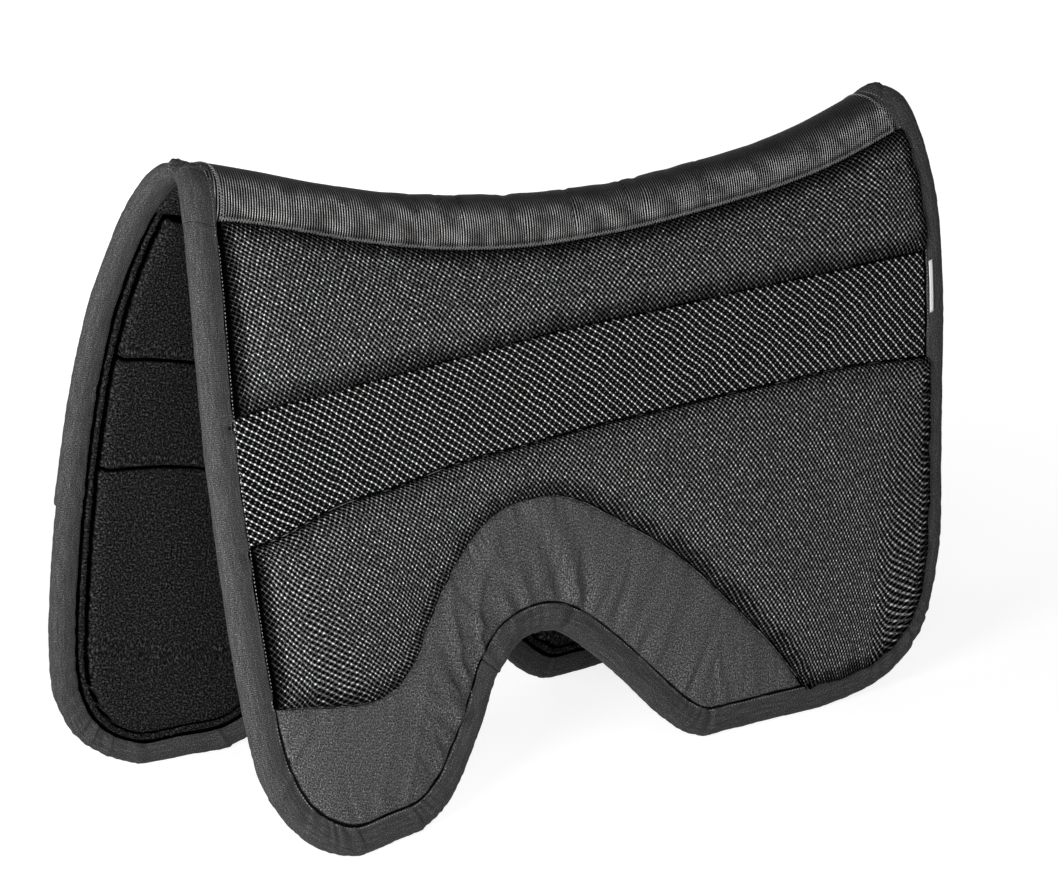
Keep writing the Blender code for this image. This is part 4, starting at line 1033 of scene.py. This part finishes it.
# The foam
def foam_piece(name, grid, side, material):
    """Foam insert: a slab with rounded edges."""
    columns, rows = grid.shape[:2]
    i, j = np.meshgrid(np.arange(columns), np.arange(rows), indexing="ij")
    rim = np.minimum(np.minimum(i, columns - 1 - i) / 2, np.minimum(j, rows - 1 - j) / 2)
    round_off = 0.0012 * (1 - puff(rim, 1.0))
    insert = slab(name, grid, FOAM_TOP - round_off, FOAM_TOP - FOAM + round_off, side, material)
    return insert


def foams(word, material):
    """Foam inserts of one flap, short of the seams."""
    covered = edge_rails(TAPE_COVER)[2]

    def low(x):
        """Return the wear seam, or the tape's inner edge where that comes first."""
        return np.minimum(WEAR_RAIL(x), covered(x))

    rear_xs = (0.580, 0.610, 0.640)
    long_xs, lobe_xs = np.linspace(-0.020, 0.690, 60), np.linspace(-0.006, 0.124, 24)
    lower_tops, lower_feet = (between([-0.016, *xs, *rear_xs], 3) for xs in (BAND_COLUMNS, WEAR_XS))
    layouts = (
        ("_upper", long_xs, long_xs, SPINE_RAIL, BAND_TOP_RAIL),
        ("_band", long_xs, long_xs, BAND_TOP_RAIL, BAND_FOOT_RAIL),
        ("_lower", lower_tops, lower_feet, BAND_FOOT_RAIL, low),
        ("_lobe", lobe_xs, lobe_xs, WEAR_RAIL, covered),
    )
    for part, tops, feet, top, foot in layouts:
        a = np.stack([tops, top(tops) + FOAM_SHORT], -1)
        b = np.stack([feet, foot(feet) - FOAM_SHORT], -1)
        grid = a[:, None] + (b - a)[:, None] * np.linspace(0.0, 1.0, 14)[None, :, None]
        insert = foam_piece(word + part + "_insert", grid, SIDE[word], material)
        hang(insert, word, "foam_insert", word + part + "_foam", depth=FOAM_DEPTH)


def spine_insert(material):
    """Foam core under the strip."""
    xs, shares = np.meshgrid(np.linspace(0.004, 0.700, 60), np.linspace(-1.0, 1.0, 17), indexing="ij")
    grid = np.stack([xs, shares * (SPINE_RAIL(xs) - SPINE_FOAM_SHORT)], -1)
    fasten(foam_piece("spine_insert", grid, 1.0, material), "foam_insert", "spine_foam")


def label_tab(material):
    """Bare woven tab on the rear tape of the near flap."""
    rows, outs = np.linspace(0.162, 0.204, 16), np.linspace(0.0012, 0.0050, 5)
    grid = np.stack([edge_rails(TAPE_COVER)[1](rows) + outs[:, None], np.broadcast_to(rows, (5, 16))], -1)
    tab = slab("near_label_tab", grid, outer=0.0046, inner=0.0037, side=SIDE["near"], material=material)
    hang(tab, "near", "label_tape", "near_side_label")


# Materials
def linear(hex_colour):
    """Return the linear colour of an sRGB hex value."""
    values = [int(hex_colour[k:k + 2], 16) / 255 for k in (0, 2, 4)]
    return (*[v / 12.92 if v <= 0.04045 else ((v + 0.055) / 1.055) ** 2.4 for v in values], 1.0)


def node(tree, kind, feeds=(), stops=(), **settings):
    """Add a shader node with its settings and links.

    feeds gives its inputs, in order or by number or name, as values, as outputs, or as nodes for
    their first output. stops are the (share, sRGB hex) of a colour ramp."""
    made = tree.nodes.new("ShaderNode" + kind)
    for name, value in settings.items():
        setattr(made, name, value)
    for k, (share, colour) in enumerate(stops):
        stop = made.color_ramp.elements[k] if k < 2 else made.color_ramp.elements.new(share)
        stop.position, stop.color = share, linear(colour)
    for socket, value in feeds.items() if isinstance(feeds, dict) else enumerate(feeds):
        if isinstance(value, bpy.types.Node):
            value = value.outputs[0]
        if isinstance(value, bpy.types.NodeSocket):
            tree.links.new(value, made.inputs[socket])
        else:
            made.inputs[socket].default_value = value
    return made


def new_material(name):
    """Return a new material and its tree."""
    made = bpy.data.materials.new(name)
    made.use_nodes = True
    return made, made.node_tree


def cloth_place(tree):
    """Return the place on the cloth in millimetres, its y, and the stretch and painted seam shade there."""
    found = node(tree, "Attribute", attribute_name="cloth").outputs["Vector"]
    where = node(tree, "VectorMath", (found, (1000.0, 1000.0, 0.0)), operation="MULTIPLY")
    return (where, node(tree, "SeparateXYZ", (where,)).outputs[1],
            node(tree, "SeparateXYZ", (found,)).outputs[2])


def wave(tree, where, degrees, pitch):
    """Return a cosine wave over the cloth, with its pitch in millimetres."""
    turn, per_mm = math.radians(degrees), math.tau / pitch
    phase = node(tree, "VectorMath", (where, (math.cos(turn) * per_mm, math.sin(turn) * per_mm, 0)),
                 operation="DOT_PRODUCT")
    return node(tree, "Math", (phase.outputs["Value"],), operation="COSINE")


def lines(tree, where, degrees, pitch, width):
    """Return yarn lines over the cloth, 1 along each yarn; width is their share of the pitch."""
    return node(tree, "MapRange", (wave(tree, where, degrees, pitch), math.cos(math.pi * width), 1.0),
                interpolation_type="SMOOTHSTEP")


def drawn(tree, where, reach):
    """Return the place on the cloth shifted a little, as a sewn net is never quite straight."""
    sway = node(tree, "TexNoise", {"Vector": where, "Scale": 0.03, "Detail": 4.0})
    return node(tree, "VectorMath", (sway.outputs["Color"], (reach, reach, 0), where),
                operation="MULTIPLY_ADD")


def chance(tree, where, per_mm, detail, noise, light):
    """Return a brightness factor that changes at random from place to place, between two levels, with a
    noise's range.
    """
    luck = node(tree, "TexNoise", {"Vector": where, "Scale": per_mm, "Detail": detail})
    return node(tree, "MapRange", (luck, *noise, *light))


def painted_seam_darkening(tree, share, painted_seam_shade, start, darkest, end=1.0):
    """Return a brightness share darkened by painted shade, to its darkest where the cloth meets a seam."""
    light = node(tree, "MapRange", (painted_seam_shade, start, end, 1.0, darkest), interpolation_type="SMOOTHSTEP")
    return node(tree, "Math", (share, light), operation="MULTIPLY")


def finished(made, share, stops, relief, relief_mm, roughness, specular):
    """Return a material with its colour from stops over a share, its relief and its gloss."""
    tree = made.node_tree
    shader = tree.nodes["Principled BSDF"]
    colour = node(tree, "ValToRGB", (share,), stops)
    bump = node(tree, "Bump", {"Height": relief, "Distance": relief_mm / 1000, "Strength": 1.0})
    tree.links.new(colour.outputs[0], shader.inputs["Base Color"])
    tree.links.new(bump.outputs[0], shader.inputs["Normal"])
    shader.inputs["Roughness"].default_value = roughness
    shader.inputs["Specular IOR Level"].default_value = specular
    return made


def spacer_mesh():
    """Knitted polyester spacer mesh: slanting yarns 3.65 mm apart, bridged at the same pitch.

    Where the knit lies slack its holes are small; over the walls it is drawn open and they
    are long and black, and painted shade darkens the walls further and the seams most. The
    knots where the bridges cross carry a painted highlight, some more than others, and the
    filaments between them painted glints."""
    made, tree = new_material("spacer_mesh_polyester")
    where, _, stretch_and_shade = cloth_place(tree)
    moved = drawn(tree, where, 5.0)
    rows = []
    for degrees, slack, taut in ((138.0, -0.80, 0.05), (50.0, -0.60, 0.30)):
        least = node(tree, "MapRange", (stretch_and_shade, 0.05, 0.85, slack, taut))
        rows.append(node(tree, "MapRange", (wave(tree, moved, degrees, 3.65), least, 1.0),
                         interpolation_type="SMOOTHSTEP"))
    yarns, bridges = rows
    knots = node(tree, "Math", (yarns, bridges), operation="MULTIPLY")
    # Painted highlights on the knots, brighter on some than others
    lit = node(tree, "Math", (knots, chance(tree, where, 0.30, 2.0, (0.40, 0.68), (0.15, 1.1))),
               operation="MULTIPLY")
    # Painted glints along the yarns
    glitter = chance(tree, where, 0.9, 3.0, (0.35, 0.65), (0.45, 1.4))
    dim = node(tree, "Math", (bridges, 0.75), operation="MULTIPLY")
    net = node(tree, "Math", (yarns, dim), operation="MAXIMUM")
    glittering = node(tree, "Math", (net, glitter), operation="MULTIPLY")
    threads = node(tree, "Math", (glittering, 0.45), operation="MULTIPLY")
    full = node(tree, "Math", (lit, 0.5, threads), operation="MULTIPLY_ADD")
    # Painted shade over the walls, beyond what the opened holes give
    painted_wall_shade = node(tree, "MapRange", (stretch_and_shade, 0.1, 0.9, 1.0, 0.60))
    on_wall = node(tree, "Math", (full, painted_wall_shade), operation="MULTIPLY")
    share = painted_seam_darkening(tree, on_wall, stretch_and_shade, 1.0, 0.03, 1.8)
    stops = ((0.09, "020202"), (0.27, "282828"), (0.48, "5c5c5c"), (0.94, "f4f4f4"))
    relief = node(tree, "Math", (net, knots), operation="ADD")
    return finished(made, share, stops, relief, relief_mm=0.6, roughness=0.6, specular=0.0)


def coarse_net():
    """Coarse polyester net: glossy yarns 6.2 mm apart, soft ones across them 4.5 mm apart.

    Their knots carry a painted shine, the soft yarns painted glints and the glossy ones a painted
    sheen; the holes between them are black, and painted shade darkens the net in its seams."""
    made, tree = new_material("coarse_net_polyester")
    where, _, stretch_and_shade = cloth_place(tree)
    moved = drawn(tree, where, 6.0)
    glossy = lines(tree, moved, 131.0, 6.2, 0.26)
    across = lines(tree, moved, 51.0, 4.5, 0.55)
    knots = node(tree, "Math", (lines(tree, moved, 131.0, 6.2, 0.46), lines(tree, moved, 51.0, 4.5, 0.46)),
                 operation="MULTIPLY")
    between_knots = node(tree, "Math", (lines(tree, moved, 131.0, 3.1, 0.7), across), operation="MULTIPLY")
    # Painted shine on the knots and painted glints on the soft yarns
    shine = chance(tree, where, 0.28, 1.0, (0.35, 0.6), (0.35, 0.8))
    glitter = chance(tree, where, 1.2, 2.0, (0.35, 0.65), (0.5, 1.4))
    glittering = node(tree, "Math", (between_knots, glitter), operation="MULTIPLY")
    soft = node(tree, "Math", (glittering, 0.40), operation="MULTIPLY")
    # The glossy yarns' gloss is painted as a lighter grey
    thin = node(tree, "Math", (glossy, 0.40), operation="MULTIPLY")
    net = node(tree, "Math", (soft, thin), operation="MAXIMUM")
    full = node(tree, "Math", (knots, shine, net), operation="MULTIPLY_ADD")
    share = painted_seam_darkening(tree, full, stretch_and_shade, 1.0, 0.10, 1.9)
    stops = ((0.04, "010101"), (0.20, "242424"), (0.43, "868686"), (0.94, "ffffff"))
    relief = node(tree, "Math", (net, knots), operation="MAXIMUM")
    return finished(made, share, stops, relief, relief_mm=0.9, roughness=0.45, specular=0.03)


def ribbed_webbing():
    """Polyester webbing woven in ribs 2.3 mm apart on the bias, with a painted highlight on the ribs,
    unevenly worn; painted shade darkens it along the ridge, where the ribs are fainter, and towards
    its sewn edges.
    """
    made, tree = new_material("ribbed_polyester_webbing")
    where, across, painted_seam_shade = cloth_place(tree)
    ribs = node(tree, "MapRange", (wave(tree, where, -21.0, 2.3), -0.2, 1.0),
                interpolation_type="SMOOTHSTEP")
    yarns = node(tree, "MapRange", (wave(tree, where, 69.0, 1.5), -1.0, 1.0))
    out = node(tree, "Math", (across,), operation="ABSOLUTE")
    # Painted shade along the ridge: darker there, with the ribs' painted highlight and their relief fainter
    painted_ridge_shade = node(tree, "MapRange", (out, 10.0, 28.0, 0.25, 1.0))
    worn = chance(tree, where, 0.05, 4.0, (0.35, 0.65), (0.6, 1.0))
    thread = node(tree, "Math", (yarns, 0.45, 0.55), operation="MULTIPLY_ADD")
    # The ribs' light tops are a painted highlight
    lit = node(tree, "Math", (ribs, thread), operation="MULTIPLY")
    rubbed = node(tree, "Math", (lit, worn), operation="MULTIPLY")
    raised = node(tree, "Math", (rubbed, painted_ridge_shade), operation="MULTIPLY")
    ground = node(tree, "Math", (raised, 0.22), operation="ADD")
    full = node(tree, "Math", (painted_ridge_shade, -0.10, ground), operation="MULTIPLY_ADD")
    share = painted_seam_darkening(tree, full, painted_seam_shade, 0.1, 0.5)
    stops = ((0.12, "0a0a0a"), (0.30, "262626"), (0.58, "747474"), (1.0, "fcfcfc"))
    return finished(made, share, stops, raised, relief_mm=0.5, roughness=0.55, specular=0.02)


def nylon_twill():
    """Fine nylon twill, its slanting wale hardly seen, a little shiny, and darkened by painted shade at its
    seam.

    The real wale is about 0.5 mm, and is drawn at 1.7 mm, which is the finest that shows."""
    made, tree = new_material("nylon_twill")
    where, _, stretch_and_shade = cloth_place(tree)
    woven = node(tree, "Math", (wave(tree, where, 131.0, 1.7), wave(tree, where, 46.0, 1.6)),
                 operation="MULTIPLY")
    both = node(tree, "MapRange", (woven, -1.0, 1.0))
    grain = node(tree, "TexNoise", {"Vector": where, "Scale": 0.75, "Detail": 4.0, "Roughness": 0.8})
    full = node(tree, "Math", (both, 0.14, grain), operation="MULTIPLY_ADD")
    share = painted_seam_darkening(tree, full, stretch_and_shade, 1.0, 0.40, 1.9)
    stops = ((0.42, "080808"), (0.55, "343434"), (0.68, "7a7a7a"), (0.90, "e0e0e0"))
    return finished(made, share, stops, full, relief_mm=0.5, roughness=0.55, specular=0.03)


def woven_tape():
    """Woven polyester binding tape: fine ribs across it, 1.6 mm apart, and streaks along it; painted
    shade darkens it along its inner edges.
    """
    made, tree = new_material("woven_binding_tape")
    where, _, painted_seam_shade = cloth_place(tree)
    ribs = node(tree, "MapRange", (wave(tree, where, 0.0, 1.6), -1.0, 1.0))
    grain = node(tree, "TexNoise", {"Vector": where, "Scale": 1.0, "Detail": 4.0, "Roughness": 0.65})
    lengthwise = node(tree, "VectorMath", (where, (0.05, 0.45, 0.0)), operation="MULTIPLY")
    streaks = node(tree, "TexNoise", {"Vector": lengthwise, "Scale": 1.0, "Detail": 3.0})
    fine = node(tree, "Math", (ribs, 0.06, grain), operation="MULTIPLY_ADD")
    full = node(tree, "Math", (streaks, 0.20, fine), operation="MULTIPLY_ADD")
    share = painted_seam_darkening(tree, full, painted_seam_shade, 0.4, 0.45)
    stops = ((0.40, "080808"), (0.57, "2c2c2c"), (0.72, "4c4c4c"), (0.94, "949494"))
    return finished(made, share, stops, fine, relief_mm=0.4, roughness=0.6, specular=0.03)


def needled_felt():
    """Needled polyester felt: matt black, its short fibres a grain of about 1 mm; painted shade darkens
    it beside the tape and along its seams.
    """
    made, tree = new_material("needled_felt")
    where, _, painted_seam_shade = cloth_place(tree)
    grain = node(tree, "TexNoise", {"Vector": where, "Scale": 0.55, "Detail": 5.0, "Roughness": 0.8})
    share = painted_seam_darkening(tree, grain, painted_seam_shade, 0.20, 0.05)
    stops = ((0.38, "010101"), (0.52, "1e1e1e"), (0.70, "6c6c6c"))
    return finished(made, share, stops, grain, relief_mm=1.2, roughness=0.95, specular=0.0)


def plain(name, dark, light, grain_mm, roughness, specular, relief_mm):
    """Return a finish with only a fine grain."""
    made, tree = new_material(name)
    where = cloth_place(tree)[0]
    grain = node(tree, "TexNoise", {"Vector": where, "Scale": 1.0 / grain_mm, "Detail": 3.0})
    return finished(made, grain, ((0.3, dark), (0.7, light)), grain, relief_mm, roughness, specular)


def dress():
    """Make every piece of the pad."""
    mesh, net, twill = spacer_mesh(), coarse_net(), nylon_twill()
    webbing, tape, lining = ribbed_webbing(), woven_tape(), needled_felt()
    # Twisted polyester thread has a low shine, open polyether foam none, and satin tape is smooth
    sewing = dict(grain_mm=0.5, roughness=0.5, specular=0.1, relief_mm=0.05)
    # The stitching thread is black; its grey is a painted sheen, and the band's turned seam edge is drawn
    # in it too
    thread = plain("polyester_thread", "484848", "a0a0a0", **sewing)
    overlocking = plain("overlock_thread", "5c5c5c", "a0a0a0", **sewing)
    black_thread = plain("black_polyester_thread", "080808", "262626", **sewing)
    foam = plain("polyether_foam", "3c3c3c", "5a5a5a", 0.7, roughness=0.9, specular=0.0, relief_mm=0.3)
    satin = plain("satin_label_tape", "d2d2d2", "f0f0f0", 0.6, roughness=0.5, specular=0.4,
                  relief_mm=0.05)
    spine_strip(webbing, overlocking)
    spine_felt(lining)
    spine_insert(foam)
    tapes(tape, thread, black_thread)
    for word in SIDE:
        upper_panel(word, mesh)
        band(word, net)
        lower_panel(word, mesh)
        wear_panel(word, twill)
        seam_edge("_wear_seam_edge", word, WEAR_RAIL, -0.026, 0.530, "nylon_twill", twill)
        seam_edge("_band_seam_edge", word, BAND_FOOT_RAIL, -0.034, 0.698, "coarse_mesh", thread)
        lining_pieces(word, lining)
        foams(word, foam)
    label_tab(satin)


# Studio: name, place, width in metres and power in watts of each square lamp
LAMPS = (
    ("key", (-1.65, -0.85, 0.75), 0.5, 25.0),
    ("side", (-1.35, -1.75, 0.75), 0.6, 14.0),
    ("low", (-1.5, -1.6, 0.14), 0.6, 17.0),
    ("rim", (-2.0, 0.7, 0.5), 0.8, 14.0),
    ("fill", (-0.6, -2.2, 1.3), 1.0, 4.0),
    ("back", (0.5, 2.4, 0.35), 1.2, 20.0),
)
PAD_MIDDLE = Vector((0.0, 0.0, 0.28))
CAMERA_PLACE, CAMERA_BACK, LENS, SENSOR = (-2.2985, -2.731, 1.208), (-0.6209, -0.7399, 0.2588), 153.12, 36.0
FLOOR_HALF = 14
WHITE = (1.0, 1.0, 1.0, 1.0)


def camera_at_photo():
    """Add the camera at the photograph's angle."""
    camera = linked("camera", bpy.data.cameras.new("camera"))
    camera.data.lens, camera.data.sensor_width, camera.data.clip_end = LENS, SENSOR, 60.0
    camera.location = CAMERA_PLACE
    camera.rotation_euler = (-Vector(CAMERA_BACK)).to_track_quat("-Z", "Y").to_euler()
    bpy.context.scene.camera = camera


def soft_lamps():
    """Add square area lamps that look at the middle of the pad."""
    for name, location, size, watts in LAMPS:
        lamp = bpy.data.lights.new(name, "AREA")
        lamp.shape, lamp.size, lamp.energy = "SQUARE", size, watts
        obj = linked(name, lamp)
        obj.location = location
        obj.rotation_euler = (PAD_MIDDLE - obj.location).to_track_quat("-Z", "Y").to_euler()


def seen_rays(tree):
    """Return 1 for rays from the camera or off something shiny, and the rays by name."""
    rays = node(tree, "LightPath").outputs
    return node(tree, "Math", (rays["Is Camera Ray"], rays["Is Glossy Ray"]), operation="MAXIMUM"), rays


def white_floor():
    """Add a floor that shows white and keeps the pad's shadow."""
    floor = bpy.data.meshes.new("floor")
    corners = [(FLOOR_HALF * x, FLOOR_HALF * y, 0) for x, y in ((-1, -1), (1, -1), (1, 1), (-1, 1))]
    floor.from_pydata(corners, [], [(0, 1, 2, 3)])
    made, tree = new_material("white_sweep")
    shader = tree.nodes["Principled BSDF"]
    seen, _ = seen_rays(tree)
    spot = node(tree, "NewGeometry").outputs["Position"]
    away = node(tree, "VectorMath", (spot,), operation="LENGTH").outputs["Value"]
    pale = node(tree, "MapRange", (away, 0.5, 2.0, 0.84, 1.0))
    glow = node(tree, "Math", (seen, pale), operation="MULTIPLY")
    # Inputs 6 and 7 are two colours: for the light that bounces off the floor, and for what is seen
    base = node(tree, "Mix", {0: seen, 6: linear("e8e8e8"), 7: linear("a8a8a8")}, data_type="RGBA")
    tree.links.new(base.outputs[2], shader.inputs["Base Color"])
    tree.links.new(glow.outputs[0], shader.inputs["Emission Strength"])
    shader.inputs["Roughness"].default_value = 0.9
    shader.inputs["Specular IOR Level"].default_value = 0.0
    shader.inputs["Emission Color"].default_value = WHITE
    floor.materials.append(made)
    linked("floor", floor)


def white_world():
    """Show white behind the pad, and light it only a little from all round."""
    world = bpy.data.worlds.new("white_studio")
    bpy.context.scene.world = world
    world.use_nodes = True
    tree = world.node_tree
    first, rays = seen_rays(tree)
    seen = node(tree, "Math", (first, rays["Is Transmission Ray"]), operation="MAXIMUM")
    strength = node(tree, "MapRange", {"Value": seen, "To Min": 0.10, "To Max": 1.0})
    background = tree.nodes["Background"]
    tree.links.new(strength.outputs[0], background.inputs["Strength"])
    background.inputs["Color"].default_value = WHITE
    bpy.context.scene.view_settings.view_transform = "Standard"


camera_at_photo()
soft_lamps()
white_floor()
white_world()
dress()
